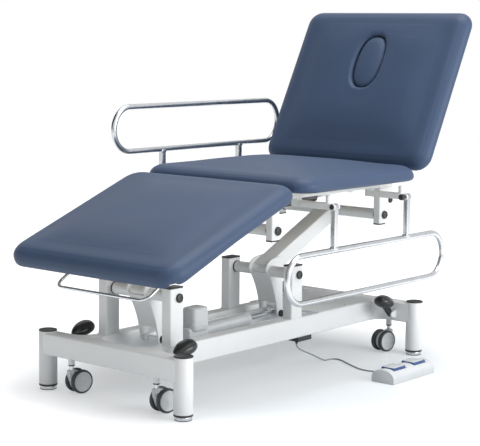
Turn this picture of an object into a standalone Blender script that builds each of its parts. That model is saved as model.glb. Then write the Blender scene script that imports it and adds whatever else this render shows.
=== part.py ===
"""Electric examination couch: a three-section padded top on a parallelogram lift.

Metres, +Z up. The head end is towards +X and the near long side is towards -Y.
The leg section hangs a little below level, the back section is raised, the far
side rail is up and the near side rail is down.
"""

import math

import bmesh
import bpy
from mathutils import Euler, Matrix, Vector

for old in list(bpy.data.objects):
    bpy.data.objects.remove(old, do_unlink=True)

# Fits
GAP = 0.0003             # between pieces that touch
WELD = 0.001             # how far a welded piece runs into its neighbour
STEP = 0.0005            # keeps the faces of welded tubes from lying flush
RUN = 0.0003             # a pin's clearance in its hole
ROUND = 18               # sides of a tube or a disc
SMALL_ROUND = 12         # sides of a pin or a knob

# Base frame
POST_SPAN_X = 1.204      # corner post to corner post, along the couch
POST_SPAN_Y = 0.572
POST_R = 0.029
POST_WALL = 0.0025
POST_TOP = 0.186
POST_CAP_T = 0.004
FOOT_H = 0.0115
FOOT_R = 0.0265
FOOT_STUD_R = 0.008
FOOT_STUD_TOP = 0.050
POST_COLLAR_H = 0.006
BEAM_TOP = 0.182
BEAM_H = 0.068
BEAM_WALL = 0.003
CROSS_BEAM_W = 0.056
SIDE_BEAM_W = 0.050
SIDE_BEAM_Y = 0.154      # outer face of a side beam and of the columns on it
FILLET_R = 0.045
FILLET_TIP = 0.0015

# Lift columns and the parallelogram
COLUMN_X = 0.058
COLUMN_Y = 0.038
COLUMN_WALL = 0.003
COLUMN_TOP = 0.355
VENT_R = 0.008          # hole that joins a beam and its column
PIVOT_IN_COLUMN = 0.036  # pivot axis from the column's foot face
FRONT_PIVOT_X = -0.477
REAR_PIVOT_X = 0.109
LOWER_PIVOT_Z = 0.326
ARM_LENGTH = 0.411
ARM_ANGLE = math.radians(24.9)
ARM_WIDTH = 0.066
ARM_DEPTH = 0.052
ARM_WALL = 0.003
TUBE_R = 0.0185
SHAFT_R = 0.010
SHAFT_HEAD_R = 0.014
SHAFT_HEAD_T = 0.008
DRAIN_R = 0.004
LEVER_T = 0.006
LEVER_FOOT = (-0.018, -0.157)   # lever pin from the lower pivot, along and across the arm
LEVER_TOP_R = 0.031
LEVER_FOOT_R = 0.016
LEVER_TAB = 0.075        # how far a lever plate runs up the arm
LEVER_PIN_R = 0.008
TIE_BAR_T = 0.012
TIE_BAR_H = 0.026
TIE_BAR_Y = 0.020

# Linear actuator
ACTUATOR_Y = -0.010
ACTUATOR_FOOT = (-0.360, 0.165)
ACTUATOR_TUBE_R = 0.0215
ACTUATOR_BODY = 0.380    # pivot to the mouth
ACTUATOR_ROD_R = 0.010
ACTUATOR_ROD = 0.300
ACTUATOR_PLAY = 0.0085   # free space round the rod, for its swing in the bore
ACTUATOR_BORE_START = 0.110
EYE_R = 0.014
EYE_T = 0.018
EYE_PIN_R = 0.006
MOTOR = (0.070, 0.058, 0.076)
MOTOR_FROM_FOOT = 0.080
MOTOR_Y = -0.046
MOUNT_H = 0.016
NECK = 0.004             # from an eye to the tube behind it

# Upper frame
BRACKET_X = 0.038
BRACKET_Y = 0.028
BRACKET_OUTER_Y = 0.231
BRACKET_WALL = 0.003
BRACKET_BELOW = 0.029    # bracket's lower end below the upper pivot
PIVOT_IN_BRACKET = 0.026
FRAME_TUBE = 0.028
FRAME_WALL = 0.002
CHANNEL_WALL = 0.003
LUG_T = 0.006
LUG_R = 0.010
HINGE_PIN_R = 0.005
HINGE_Y = 0.1965         # inner face of a moving hinge lug

# Padded sections
PAD_WIDTH = 0.704
PAD_TOP = 0.676
PAD_THICK = 0.053
PAD_CROWN = 0.016
PAD_CORNER = 0.070
PAD_EDGE_IN = 0.060      # the top edge's rounding, inwards and downwards
PAD_EDGE_DOWN = 0.037
PAD_UNDER_EDGE = 0.014
BOARD_T = 0.012
BOARD_INSET = 0.021
SEAT_FOOT_X = -0.117
SEAT_HEAD_X = 0.530
LEG_HINGE = (-0.125, 0.610)
LEG_DOWN = math.radians(20.5)
LEG_START = 0.003
LEG_LENGTH = 0.624
BACK_HINGE = (0.548, 0.640)
BACK_UP = math.radians(62.2)
BACK_START = 0.013
BACK_LENGTH = 0.604
HOLE_FROM_HINGE = 0.405
HOLE_LENGTH = 0.212
HOLE_WIDTH = 0.118
PLUG_FIT = 0.0004
PLUG_GAP = 0.0030

# Back and leg struts
BACK_STRUT_FOOT = (0.130, 0.540)
BACK_STRUT_HEAD = (-0.050, -0.080)  # from the back hinge, with the back flat
BACK_STRUT_R = 0.0175
BACK_STRUT_BODY = 0.260
BACK_STRUT_ROD_R = 0.0045
BACK_STRUT_ROD = 0.275
BACK_STRUT_PLAY = 0.0105
LEG_STRUT_Y = 0.080
LEG_STRUT_FOOT = (0.085, 0.585)
LEG_STRUT_HEAD = (-0.050, -0.035)  # from the leg hinge, with the leg section flat
LEG_STRUT_R = 0.009
LEG_STRUT_BODY = 0.150
LEG_STRUT_ROD_R = 0.004
LEG_STRUT_ROD = 0.140
LEG_STRUT_PLAY = 0.0030
STRUT_EYE_R = 0.009
STRUT_EYE_T = 0.012
STRUT_PIN_R = 0.004

# Release bar under the leg section
RELEASE_PIVOT = (-0.320, -0.013)
RELEASE_BAR = (-0.594, -0.061)
RELEASE_HALF = 0.190
RELEASE_R = 0.005
RELEASE_BEND = 0.030

# Side rails
RAIL_Y = 0.368
RAIL_AXIS_Z = 0.578
RAIL_NEAR_BAR = 0.138    # from the flip axis to the nearer bar
RAIL_FAR_BAR = 0.287
RAIL_FOOT_X = -0.226
RAIL_HEAD_X = 0.638
RAIL_TUBE_R = 0.0095
RAIL_POST_X = (0.009, 0.415)
RAIL_POST = 0.018
RAIL_EYE_R = 0.011
RAIL_CHEEK_T = 0.005
OUTRIGGER_X = 0.026
OUTRIGGER_Z = 0.020
KNOB_R = 0.010
KNOB_L = 0.024

# Casters and their pedals
CASTER_Y = 0.180
CASTER_TURN = math.radians(-10.0)
CASTER_TRAIL = 0.027
WHEEL_R = 0.0375
WHEEL_W = 0.016
WHEEL_CLEAR = 0.0005     # wheel above the floor while the couch stands on its feet
AXLE_R = 0.004
HUB_R = 0.012
HOUSING_HALF = 0.0085
HOUSING_R = 0.030
HOUSING_TOP = 0.0755
STEM_R = 0.007
STEM_TOP = 0.1005
GUIDE_R = 0.010
GUIDE_BOTTOM = 0.0885
PEDAL_Y = 0.216
PEDAL_PIVOT = (0.046, 0.140)   # inboard of the cross beam's centre, and height
PEDAL_LENGTH = 0.088
PEDAL_WIDTH = 0.060
PEDAL_HEIGHT = 0.034
PEDAL_CENTRE = (0.082, 0.181)  # inboard of the cross beam's centre, and height
PEDAL_STALK_W = 0.012

# Boxes, foot switch and its cord
COVER_T = 0.002
COVER_LENGTH = 0.345
COVER_FROM_POST = 0.032  # from the posts' centres to the cover's end
JUNCTION_X = (0.116, 0.190)
JUNCTION_Y = (-0.150, -0.106)
JUNCTION_H = 0.016
GLAND_XY = (0.1356, -0.128)
GLAND_R = 0.0055
GLAND_L = 0.010
SWITCH_X = (0.165, 0.405)
SWITCH_Y = (-0.500, -0.412)
SWITCH_H = 0.044
SWITCH_PAD = (0.070, 0.052)
SWITCH_PAD_OFFSET = 0.058
SWITCH_WELL = 0.012
SWITCH_TRAVEL = 0.003
CORD_R = 0.0025
CORD_ENTRY_Z = 0.012

scene = bpy.context.scene
root = bpy.data.objects.new("couch_origin", None)
scene.collection.objects.link(root)


# Meshes built from rings of points
def circle(radius, sides):
    """Points of a circle in the XY plane."""
    return [(radius * math.cos(2 * math.pi * i / sides), radius * math.sin(2 * math.pi * i / sides))
            for i in range(sides)]


def add_rings(bm, rings, place=Matrix.Identity(4), closed=False):
    """Join rings of points into one closed skin; a ring of one point is a tip."""
    loops = [[bm.verts.new(place @ Vector(point)) for point in ring] for ring in rings]
    pairs = list(zip(loops, loops[1:]))
    if closed:
        pairs.append((loops[-1], loops[0]))
    for low, high in pairs:
        count = max(len(low), len(high))
        for i in range(count):
            j = (i + 1) % count
            if len(low) == 1:
                bm.faces.new((low[0], high[j], high[i]))
            elif len(high) == 1:
                bm.faces.new((low[i], low[j], high[0]))
            else:
                bm.faces.new((low[i], low[j], high[j], high[i]))
    if not closed:
        for loop in (loops[0], loops[-1]):
            if len(loop) > 2:
                bm.faces.new(loop)


def add_box(bm, low, high, place=Matrix.Identity(4)):
    """A solid box between two corners."""
    ring = [(low[0], low[1]), (high[0], low[1]), (high[0], high[1]), (low[0], high[1])]
    add_rings(bm, [[(x, y, z) for x, y in ring] for z in (low[2], high[2])], place)


def add_turned(bm, profile, place, sides=ROUND, closed=False):
    """A turned piece: (radius, height) pairs about the local Z axis."""
    rings = []
    for radius, height in profile:
        if radius == 0.0:
            rings.append([(0.0, 0.0, height)])
        else:
            rings.append([(x, y, height) for x, y in circle(radius, sides)])
    add_rings(bm, rings, place, closed)


def add_rod(bm, radius, low, high, place, sides=ROUND):
    """A solid round bar along local Z."""
    add_turned(bm, [(radius, low), (radius, high)], place, sides)


def add_pipe(bm, outer, inner, low, high, place, sides=ROUND):
    """A round tube along local Z, open at both ends."""
    profile = [(outer, low), (outer, high), (inner, high), (inner, low)]
    add_turned(bm, profile, place, sides, closed=True)


def add_box_tube(bm, width, depth, wall, low, high, place, saddles=(0.0, 0.0)):
    """A rectangular tube along local Z; an end may be cut to sit on a round bar along local X."""
    steps = 6 if any(saddles) else 1

    def loop(shrink, end):
        half_w = width / 2 - shrink
        half_d = depth / 2 - shrink
        across = [half_d * (2 * i / steps - 1) for i in range(steps + 1)]
        ring = [(half_w, y) for y in across] + [(-half_w, y) for y in reversed(across)]
        points = []
        for x, y in ring:
            cut = math.sqrt(max(saddles[end] ** 2 - y * y, 0.0))
            points.append((x, y, low + cut if end == 0 else high - cut))
        return points

    add_rings(bm, [loop(0.0, 0), loop(0.0, 1), loop(wall, 1), loop(wall, 0)], place, closed=True)


def add_plate(bm, outline, low, high, place, holes=()):
    """A flat plate along local Z, from low to high, with holes right through it."""
    caps = []
    for height in (low, high):
        loops = []
        edges = []
        for line in (outline, *holes):
            verts = [bm.verts.new(place @ Vector((x, y, height))) for x, y in line]
            loops.append(verts)
            edges += [bm.edges.new((verts[i - 1], verts[i])) for i in range(len(verts))]
        bmesh.ops.triangle_fill(bm, edges=edges, use_beauty=True)
        caps.append(loops)
    for bottom, top in zip(*caps):
        for i in range(len(bottom)):
            bm.faces.new((bottom[i - 1], bottom[i], top[i], top[i - 1]))


def add_sweep(bm, path, radius, across, closed=False, sides=8):
    """A round bar along a flat path; across is the normal of the path's plane."""
    path = [Vector(point) for point in path]
    across = Vector(across).normalized()
    rings = []
    for i, point in enumerate(path):
        before = path[i - 1] if i or closed else path[i]
        after = path[(i + 1) % len(path)] if i + 1 < len(path) or closed else path[i]
        side = (after - before).normalized().cross(across)
        rings.append([point + side * x + across * y for x, y in circle(radius, sides)])
    add_rings(bm, rings, closed=closed)


def rounded_path(corners, bend, closed=False, steps=6):
    """A path through corners, each rounded with an arc of radius bend."""
    corners = [Vector(point) for point in corners]
    path = []
    for i, corner in enumerate(corners):
        if not closed and i in (0, len(corners) - 1):
            path.append(corner)
            continue
        back = (corners[i - 1] - corner).normalized()
        ahead = (corners[(i + 1) % len(corners)] - corner).normalized()
        half = back.angle(ahead) / 2
        centre = corner + (back + ahead).normalized() * bend / math.sin(half)
        start = corner + back * bend / math.tan(half) - centre
        stop = corner + ahead * bend / math.tan(half) - centre
        for k in range(steps + 1):
            path.append(centre + start.slerp(stop, k / steps).normalized() * bend)
    return path


def hull(points):
    """Outline round a set of points in a plane, anticlockwise."""
    points = sorted(set(points))

    def half(line):
        chain = []
        for p in line:
            while len(chain) > 1:
                a, b = chain[-2], chain[-1]
                if (b[0] - a[0]) * (p[1] - a[1]) - (b[1] - a[1]) * (p[0] - a[0]) > 1e-12:
                    break
                chain.pop()
            chain.append(p)
        return chain[:-1]

    return half(points) + half(points[::-1])


def disc(centre, radius, sides=SMALL_ROUND):
    """Points of a circle about a centre."""
    return [(centre[0] + x, centre[1] + y) for x, y in circle(radius, sides)]


def at(x, y, z):
    """A move to a place."""
    return Matrix.Translation((x, y, z))


ALONG_X = Matrix.Rotation(math.pi / 2, 4, "Y")     # local Z runs along X
ALONG_Y = Matrix.Rotation(-math.pi / 2, 4, "X")    # local Z runs along Y
UPRIGHT = Matrix.Rotation(math.pi / 2, 4, "X")     # local XY is the XZ plane, local Z is -Y
SIDEWAYS = Matrix(((0, 0, 1, 0), (1, 0, 0, 0), (0, 1, 0, 0), (0, 0, 0, 1)))  # local XY is YZ


def add_upright(bm, outline, low, high, holes=(), place=Matrix.Identity(4)):
    """A plate in the XZ plane between two values of Y."""
    add_plate(bm, outline, -high, -low, place @ UPRIGHT, holes)


def material(name, colour, roughness, metallic=0.0):
    """A plain surface finish."""
    finish = bpy.data.materials.new(name)
    finish.use_nodes = True
    shader = finish.node_tree.nodes["Principled BSDF"]
    shader.inputs["Base Color"].default_value = (*colour, 1.0)
    shader.inputs["Roughness"].default_value = roughness
    shader.inputs["Metallic"].default_value = metallic
    finish.diffuse_color = (*colour, 1.0)
    return finish


WHITE = (0.82, 0.83, 0.84)
BLACK = (0.015, 0.016, 0.018)
NAVY = (0.060, 0.092, 0.160)
STEEL = (0.62, 0.63, 0.65)
GREY = (0.55, 0.57, 0.59)
PLY = (0.46, 0.31, 0.18)
BLUE = (0.10, 0.24, 0.52)


def joint_frame(name, place, tilt=0.0, turn=0.0):
    """An empty on a joint's axis, tilted about Y and turned about Z."""
    frame = bpy.data.objects.new(name, None)
    scene.collection.objects.link(frame)
    frame.parent = root
    frame.location = place
    frame.rotation_euler = Euler((0.0, tilt, turn))
    return frame


def node(name, bm, colour, roughness, metallic=0.0, frame=None, in_frame=True):
    """A named piece from a finished mesh; in_frame says that it was drawn in its joint's frame."""
    bmesh.ops.recalc_face_normals(bm, faces=bm.faces)
    mesh = bpy.data.meshes.new(name)
    bm.to_mesh(mesh)
    bm.free()
    piece = bpy.data.objects.new(name, mesh)
    scene.collection.objects.link(piece)
    mesh.materials.append(material(name, colour, roughness, metallic))
    mesh.shade_smooth()
    mesh.set_sharp_from_angle(angle=math.radians(35))
    piece.parent = frame or root
    if frame and not in_frame:
        pose = Matrix.Translation(frame.location) @ frame.rotation_euler.to_matrix().to_4x4()
        piece.matrix_parent_inverse = pose.inverted()
    return piece


def combine(piece, bm, operation):
    """Join a piece with, or cut it by, a hidden mesh that was drawn in the same frame."""
    bmesh.ops.recalc_face_normals(bm, faces=bm.faces)
    mesh = bpy.data.meshes.new(piece.name + "_" + operation.lower())
    bm.to_mesh(mesh)
    bm.free()
    tool = bpy.data.objects.new(mesh.name, mesh)
    scene.collection.objects.link(tool)
    tool.parent = piece.parent
    tool.matrix_parent_inverse = piece.matrix_parent_inverse
    tool.hide_render = True
    tool.display_type = "WIRE"
    change = piece.modifiers.new(operation.lower(), "BOOLEAN")
    change.operation = operation
    change.object = tool
    change.use_self = operation == "UNION"


SIDES = (-1, 1)
POST_X = POST_SPAN_X / 2
POST_Y = POST_SPAN_Y / 2
CORNERS = [(sx, sy) for sx in SIDES for sy in SIDES]
BEAM_BOTTOM = BEAM_TOP - BEAM_H
BEAM_MIDDLE = (BEAM_TOP + BEAM_BOTTOM) / 2
CROSS_INNER_X = POST_X - CROSS_BEAM_W / 2
SIDE_INNER_Y = SIDE_BEAM_Y - SIDE_BEAM_W
SIDE_MIDDLE_Y = SIDE_BEAM_Y - SIDE_BEAM_W / 2

# Base frame: side beams, cross beams, corner webs, posts and columns, all welded together
SIDE_H = BEAM_H - 2 * STEP
SIDE_TOP = BEAM_TOP - STEP
core = bmesh.new()
rest = bmesh.new()
drills = bmesh.new()
for sy, bm in ((-1, core), (1, rest)):
    reach = CROSS_INNER_X + WELD
    add_box_tube(bm, SIDE_H, SIDE_BEAM_W, BEAM_WALL, -reach, reach,
                 at(0.0, sy * SIDE_MIDDLE_Y, BEAM_MIDDLE) @ ALONG_X)
for sx in SIDES:
    along_y = at(sx * POST_X, 0.0, BEAM_MIDDLE) @ ALONG_Y @ Matrix.Rotation(math.pi / 2, 4, "Z")
    seat = POST_R - POST_WALL * 0.6
    add_box_tube(rest, BEAM_H, CROSS_BEAM_W, BEAM_WALL, -POST_Y, POST_Y, along_y, (seat, seat))
arc = [(FILLET_R * (1 - math.cos(t * math.pi / 12)), FILLET_R * (1 - math.sin(t * math.pi / 12)))
       for t in range(1, 6)]
web = [(-WELD, -WELD), (FILLET_R, -WELD), (FILLET_R, FILLET_TIP)]
web += [(x + FILLET_TIP, y + FILLET_TIP) for x, y in reversed(arc)]
web += [(FILLET_TIP, FILLET_R), (-WELD, FILLET_R)]
for sx, sy in CORNERS:
    for edge, away in ((SIDE_BEAM_Y, 1), (SIDE_INNER_Y, -1)):
        outline = [(sx * (CROSS_INNER_X - x), sy * (edge + away * y)) for x, y in web]
        add_plate(rest, outline, BEAM_BOTTOM + 2 * STEP, BEAM_TOP - 2 * STEP, Matrix.Identity(4))

# Corner posts, each with a black cap and a levelling foot
POST_BOTTOM = FOOT_H + POST_COLLAR_H
END_NAME = {-1: "foot", 1: "head"}
SIDE_NAME = {-1: "near", 1: "far"}
for sx, sy in CORNERS:
    tag = END_NAME[sx] + "_" + SIDE_NAME[sy]
    place = at(sx * POST_X, sy * POST_Y, 0.0)
    add_pipe(rest, POST_R, POST_R - POST_WALL, POST_BOTTOM + GAP, POST_TOP - GAP, place)
    bm = bmesh.new()
    add_rod(bm, POST_R, POST_TOP, POST_TOP + POST_CAP_T, place)
    node("post_cap_" + tag, bm, BLACK, 0.45)
    bm = bmesh.new()
    add_turned(bm, [(FOOT_R, 0.0), (FOOT_R, FOOT_H), (POST_R, FOOT_H + STEP), (POST_R, POST_BOTTOM),
                    (FOOT_STUD_R, POST_BOTTOM), (FOOT_STUD_R, FOOT_STUD_TOP)], place)
    node("levelling_foot_" + tag, bm, STEEL, 0.3, 1.0)

# Lift columns on the side beams, with holes for the lower pivot shafts
PIVOTS = (FRONT_PIVOT_X, REAR_PIVOT_X)
COLUMN_OUTER_Y = SIDE_BEAM_Y - STEP
COLUMN_INNER_Y = COLUMN_OUTER_Y - COLUMN_Y
SHAFT_BORE_R = SHAFT_R + RUN
for pivot in PIVOTS:
    for sy in SIDES:
        place = at(pivot - PIVOT_IN_COLUMN + COLUMN_X / 2, sy * (COLUMN_OUTER_Y - COLUMN_Y / 2), 0.0)
        add_box_tube(rest, COLUMN_X, COLUMN_Y, COLUMN_WALL, SIDE_TOP - WELD, COLUMN_TOP, place)
        add_rod(drills, VENT_R, SIDE_TOP - 3 * BEAM_WALL, SIDE_TOP + 3 * BEAM_WALL, place, SMALL_ROUND)
    add_rod(drills, SHAFT_BORE_R, -2 * SIDE_BEAM_Y, 2 * SIDE_BEAM_Y,
            at(pivot, 0.0, LOWER_PIVOT_Z) @ ALONG_Y, ROUND)


def add_lug_pair(bm, outline, middle, eye_t, centre, pin_r, lug_t=LUG_T):
    """Two upright lugs with a pin welded across them, for an eye of thickness eye_t."""
    for sy in SIDES:
        inner = eye_t / 2 + 2 * GAP
        faces = sorted((middle + sy * inner, middle + sy * (inner + lug_t)))
        add_upright(bm, outline, faces[0], faces[1])
    reach = eye_t / 2 + 2 * GAP + lug_t + WELD
    add_rod(bm, pin_r, -reach, reach, at(centre[0], middle, centre[1]) @ ALONG_Y, SMALL_ROUND)


# Actuator's mount: a bracket on the near side beam that ends in a pair of lugs
mount_top = ACTUATOR_FOOT[1] - EYE_R - 0.002
mount_end = ACTUATOR_Y + EYE_T / 2 + 2 * GAP + LUG_T
add_box(rest, (ACTUATOR_FOOT[0] - EYE_R, -SIDE_INNER_Y - WELD, mount_top - MOUNT_H),
        (ACTUATOR_FOOT[0] + EYE_R, mount_end, mount_top))
lug = hull(disc(ACTUATOR_FOOT, EYE_R - STEP) + [(ACTUATOR_FOOT[0] - EYE_R + STEP, mount_top - WELD),
                                                (ACTUATOR_FOOT[0] + EYE_R - STEP, mount_top - WELD)])
add_lug_pair(rest, lug, ACTUATOR_Y, EYE_T, ACTUATOR_FOOT, EYE_PIN_R)

# Caster guides under the cross beams, and pedal lugs on their inner faces
for sx, sy in CORNERS:
    place = at(sx * POST_X, sy * CASTER_Y, 0.0)
    add_rod(rest, GUIDE_R, GUIDE_BOTTOM, BEAM_BOTTOM + WELD, place, SMALL_ROUND)
    add_rod(drills, STEM_R + RUN, GUIDE_BOTTOM - 0.01, BEAM_BOTTOM + 4 * BEAM_WALL, place, SMALL_ROUND)
    px, pz = sx * (POST_X - PEDAL_PIVOT[0]), PEDAL_PIVOT[1]
    wall = sx * (CROSS_INNER_X + WELD)
    lug = hull(disc((px, pz), LUG_R) + [(wall, pz - 0.014), (wall, pz + 0.014)])
    add_lug_pair(rest, lug, sy * PEDAL_Y, PEDAL_STALK_W, (px, pz), HINGE_PIN_R)
frame_piece = node("base_frame", core, WHITE, 0.35)
combine(frame_piece, rest, "UNION")
combine(frame_piece, drills, "DIFFERENCE")


def pivot_shaft(name, x, z, outer, frame=None):
    """A long pivot shaft across the couch, with a black head at each end."""
    end = outer + GAP
    bm = bmesh.new()
    add_turned(bm, [(SHAFT_HEAD_R * 0.92, -end - SHAFT_HEAD_T), (SHAFT_HEAD_R, -end), (SHAFT_R, -end),
                    (SHAFT_R, end), (SHAFT_HEAD_R, end), (SHAFT_HEAD_R * 0.92, end + SHAFT_HEAD_T)],
               at(x, 0.0, z) @ ALONG_Y)
    node(name, bm, BLACK, 0.4, frame=frame, in_frame=False)


pivot_shaft("front_lower_pivot_shaft", FRONT_PIVOT_X, LOWER_PIVOT_Z, COLUMN_OUTER_Y)
pivot_shaft("rear_lower_pivot_shaft", REAR_PIVOT_X, LOWER_PIVOT_Z, COLUMN_OUTER_Y)

# Lift arms: each a welded torque tube, box arm, upper tube and pair of lever plates
BRACKET_INNER_Y = BRACKET_OUTER_Y - BRACKET_Y


def lift_arm(name, pivot):
    """One swinging arm, drawn along +X from its lower pivot."""
    frame = joint_frame(name + "_axis", (pivot, 0.0, LOWER_PIVOT_Z), -ARM_ANGLE)
    core = bmesh.new()
    rest = bmesh.new()
    drills = bmesh.new()
    for bm, x, side in ((core, 0.0, COLUMN_INNER_Y), (rest, ARM_LENGTH, BRACKET_INNER_Y)):
        end = side - 2 * GAP
        add_pipe(bm, TUBE_R, SHAFT_BORE_R, -end, end, at(x, 0.0, 0.0) @ ALONG_Y)
    across = ALONG_X @ Matrix.Rotation(math.pi / 2, 4, "Z")
    seat = (TUBE_R + SHAFT_BORE_R) / 2
    add_box_tube(rest, ARM_WIDTH, ARM_DEPTH, ARM_WALL, 0.0, ARM_LENGTH, across, (seat, seat))
    plate = disc((0.0, 0.0), LEVER_TOP_R) + disc(LEVER_FOOT, LEVER_FOOT_R)
    plate += disc((LEVER_TAB, 0.0), ARM_DEPTH / 2 - ARM_WALL)
    for sy in SIDES:
        faces = sorted((sy * (ARM_WIDTH / 2 - WELD), sy * (ARM_WIDTH / 2 + LEVER_T)))
        add_upright(rest, hull(plate), faces[0], faces[1], [disc((0.0, 0.0), seat - WELD, ROUND)])
    reach = ARM_WIDTH / 2 + 2 * LEVER_T
    add_rod(rest, LEVER_PIN_R, -reach, reach, at(LEVER_FOOT[0], 0.0, LEVER_FOOT[1]) @ ALONG_Y,
            SMALL_ROUND)
    add_rod(drills, DRAIN_R, -ARM_DEPTH, 0.0, at(ARM_LENGTH / 3, 0.0, 0.0), SMALL_ROUND)
    piece = node(name, core, WHITE, 0.35, frame=frame)
    combine(piece, rest, "UNION")
    combine(piece, drills, "DIFFERENCE")


lift_arm("front_lift_arm", FRONT_PIVOT_X)
lift_arm("rear_lift_arm", REAR_PIVOT_X)


def turned_up(point, angle):
    """A point (x, z) swung up about the Y axis, from level."""
    c, s = math.cos(angle), math.sin(angle)
    return point[0] * c - point[1] * s, point[0] * s + point[1] * c


LEVER_PLACE = turned_up(LEVER_FOOT, ARM_ANGLE)
UPPER_PLACE = turned_up((ARM_LENGTH, 0.0), ARM_ANGLE)
UPPER_PIVOT_Z = LOWER_PIVOT_Z + UPPER_PLACE[1]
LEVER_PIN_Z = LOWER_PIVOT_Z + LEVER_PLACE[1]
REAR_LEVER_X = REAR_PIVOT_X + LEVER_PLACE[0]

# Tie bar from lever to lever
frame = joint_frame("tie_bar_axis", (FRONT_PIVOT_X + LEVER_PLACE[0], 0.0, LEVER_PIN_Z))
span = REAR_PIVOT_X - FRONT_PIVOT_X
bm = bmesh.new()
eyes = [(0.0, 0.0), (span, 0.0)]
bar = hull(disc(eyes[0], TIE_BAR_H / 2) + disc(eyes[1], TIE_BAR_H / 2))
add_upright(bm, bar, TIE_BAR_Y - TIE_BAR_T / 2, TIE_BAR_Y + TIE_BAR_T / 2,
            [disc(eye, LEVER_PIN_R + RUN) for eye in eyes])
node("lift_tie_bar", bm, WHITE, 0.35, frame=frame)


# Telescopes: a tube pivoted at its foot and a rod pivoted at its head
def telescope(name, foot, head, y, tube_r, body, rod_r, rod, play, bore_start, eye):
    """A tube and a rod in line at rest; the rod is finished and the tube's meshes are returned.

    eye is (radius, thickness, pin radius at the foot, pin radius at the head).
    """
    tilt = -math.atan2(head[1] - foot[1], head[0] - foot[0])
    frames = [joint_frame(name + "_foot_axis", (foot[0], y, foot[1]), tilt),
              joint_frame(name + "_head_axis", (head[0], y, head[1]), tilt)]
    eye_r, eye_t, foot_pin, head_pin = eye
    start = eye_r + NECK
    core = bmesh.new()
    neck = [(start + NECK, -eye_t / 2), (start + NECK, eye_t / 2)]
    add_upright(core, hull(disc((0.0, 0.0), eye_r) + neck), -eye_t / 2, eye_t / 2,
                [disc((0.0, 0.0), foot_pin + RUN)])
    rest = bmesh.new()
    add_turned(rest, [(tube_r, start), (tube_r, body), (rod_r + play, body), (rod_r + play, bore_start)],
               ALONG_X)
    rod_core = bmesh.new()
    add_upright(rod_core, disc((0.0, 0.0), eye_r), -eye_t / 2, eye_t / 2,
                [disc((0.0, 0.0), head_pin + RUN)])
    rod_rest = bmesh.new()
    add_rod(rod_rest, rod_r, -rod, -eye_r + (eye_r - head_pin) / 2, ALONG_X, SMALL_ROUND)
    rod_piece = node(name + "_rod", rod_core, STEEL, 0.25, 1.0, frame=frames[1])
    combine(rod_piece, rod_rest, "UNION")
    return core, rest, frames[0]


# Actuator: a motor and tube pivoted on the base, and a rod pivoted on the rear lever
core, rest, frame = telescope("actuator", ACTUATOR_FOOT, (REAR_LEVER_X, LEVER_PIN_Z), ACTUATOR_Y,
                              ACTUATOR_TUBE_R, ACTUATOR_BODY, ACTUATOR_ROD_R, ACTUATOR_ROD,
                              ACTUATOR_PLAY, ACTUATOR_BORE_START,
                              (EYE_R, EYE_T, EYE_PIN_R, LEVER_PIN_R))
low = (MOTOR_FROM_FOOT - MOTOR[0] / 2, MOTOR_Y - ACTUATOR_Y - MOTOR[1] / 2, ACTUATOR_TUBE_R - NECK)
add_box(rest, low, (low[0] + MOTOR[0], low[1] + MOTOR[1], low[2] + MOTOR[2]))
combine(node("actuator_body", core, GREY, 0.4, frame=frame), rest, "UNION")

# Upper frame that carries the pads
BOARD_BOTTOM = PAD_TOP - PAD_THICK
FRAME_TOP = BOARD_BOTTOM - GAP
FRAME_MIDDLE = FRAME_TOP - FRAME_TUBE / 2
FRAME_BOTTOM = FRAME_TOP - FRAME_TUBE
FRAME_Y = BRACKET_OUTER_Y - FRAME_TUBE / 2
FRAME_INNER_Y = BRACKET_OUTER_Y - FRAME_TUBE


def add_rails(core, rest, x0, x1, z):
    """Two frame tubes along X, at height z of their middles."""
    for sy, bm in ((-1, core), (1, rest)):
        add_box_tube(bm, FRAME_TUBE, FRAME_TUBE, FRAME_WALL, x0, x1, at(0.0, sy * FRAME_Y, z) @ ALONG_X)


def add_channel(bm, x, z):
    """A cross member between the two rails, a channel open downwards."""
    half = FRAME_TUBE / 2 - STEP
    web = half - CHANNEL_WALL
    outline = [(-half, half), (-half, -half), (-web, -half), (-web, web), (web, web), (web, -half),
               (half, -half), (half, half)]
    reach = FRAME_INNER_Y + WELD
    add_upright(bm, [(x + u, z + v) for u, v in outline], -reach, reach)


def add_hinge_lugs(bm, outline, inner, pivot=None):
    """A hinge lug on each side, its inner face at inner, bored where a pivot is given."""
    holes = [disc(pivot, HINGE_PIN_R + RUN)] if pivot else []
    for sy in SIDES:
        faces = sorted((sy * inner, sy * (inner + LUG_T)))
        add_upright(bm, outline, faces[0], faces[1], holes)


def raised_lug(pivot, away, face, top, bottom):
    """Outline of a lug that reaches up from a cross member to a pivot; away is -1 or +1."""
    cap = [p for p in disc(pivot, LUG_R) if p[1] >= pivot[1] - 1e-6]
    cap.sort(key=lambda p: away * p[0])
    return cap + [(pivot[0] + away * LUG_R, top), (face, top), (face, bottom), (pivot[0], bottom),
                  (pivot[0] - away * LUG_R, (top + bottom) / 2)]


SEAT_CROSS_FOOT = LEG_HINGE[0] + LUG_R + FRAME_TUBE / 2 + 0.003
SEAT_CROSS_HEAD = BACK_HINGE[0] - 2 * LUG_R - FRAME_TUBE / 2
SEAT_LUG_Y = HINGE_Y - 2 * GAP - LUG_T
INTO_CHANNEL = STEP + CHANNEL_WALL / 2
LUG_BASE = FRAME_TUBE / 2 - 2 * STEP
core = bmesh.new()
rest = bmesh.new()
drills = bmesh.new()
add_rails(core, rest, SEAT_CROSS_FOOT - FRAME_TUBE / 2, SEAT_CROSS_HEAD + FRAME_TUBE / 2, FRAME_MIDDLE)
for x in (SEAT_CROSS_FOOT, BACK_STRUT_FOOT[0], SEAT_CROSS_HEAD):
    add_channel(rest, x, FRAME_MIDDLE)

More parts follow.
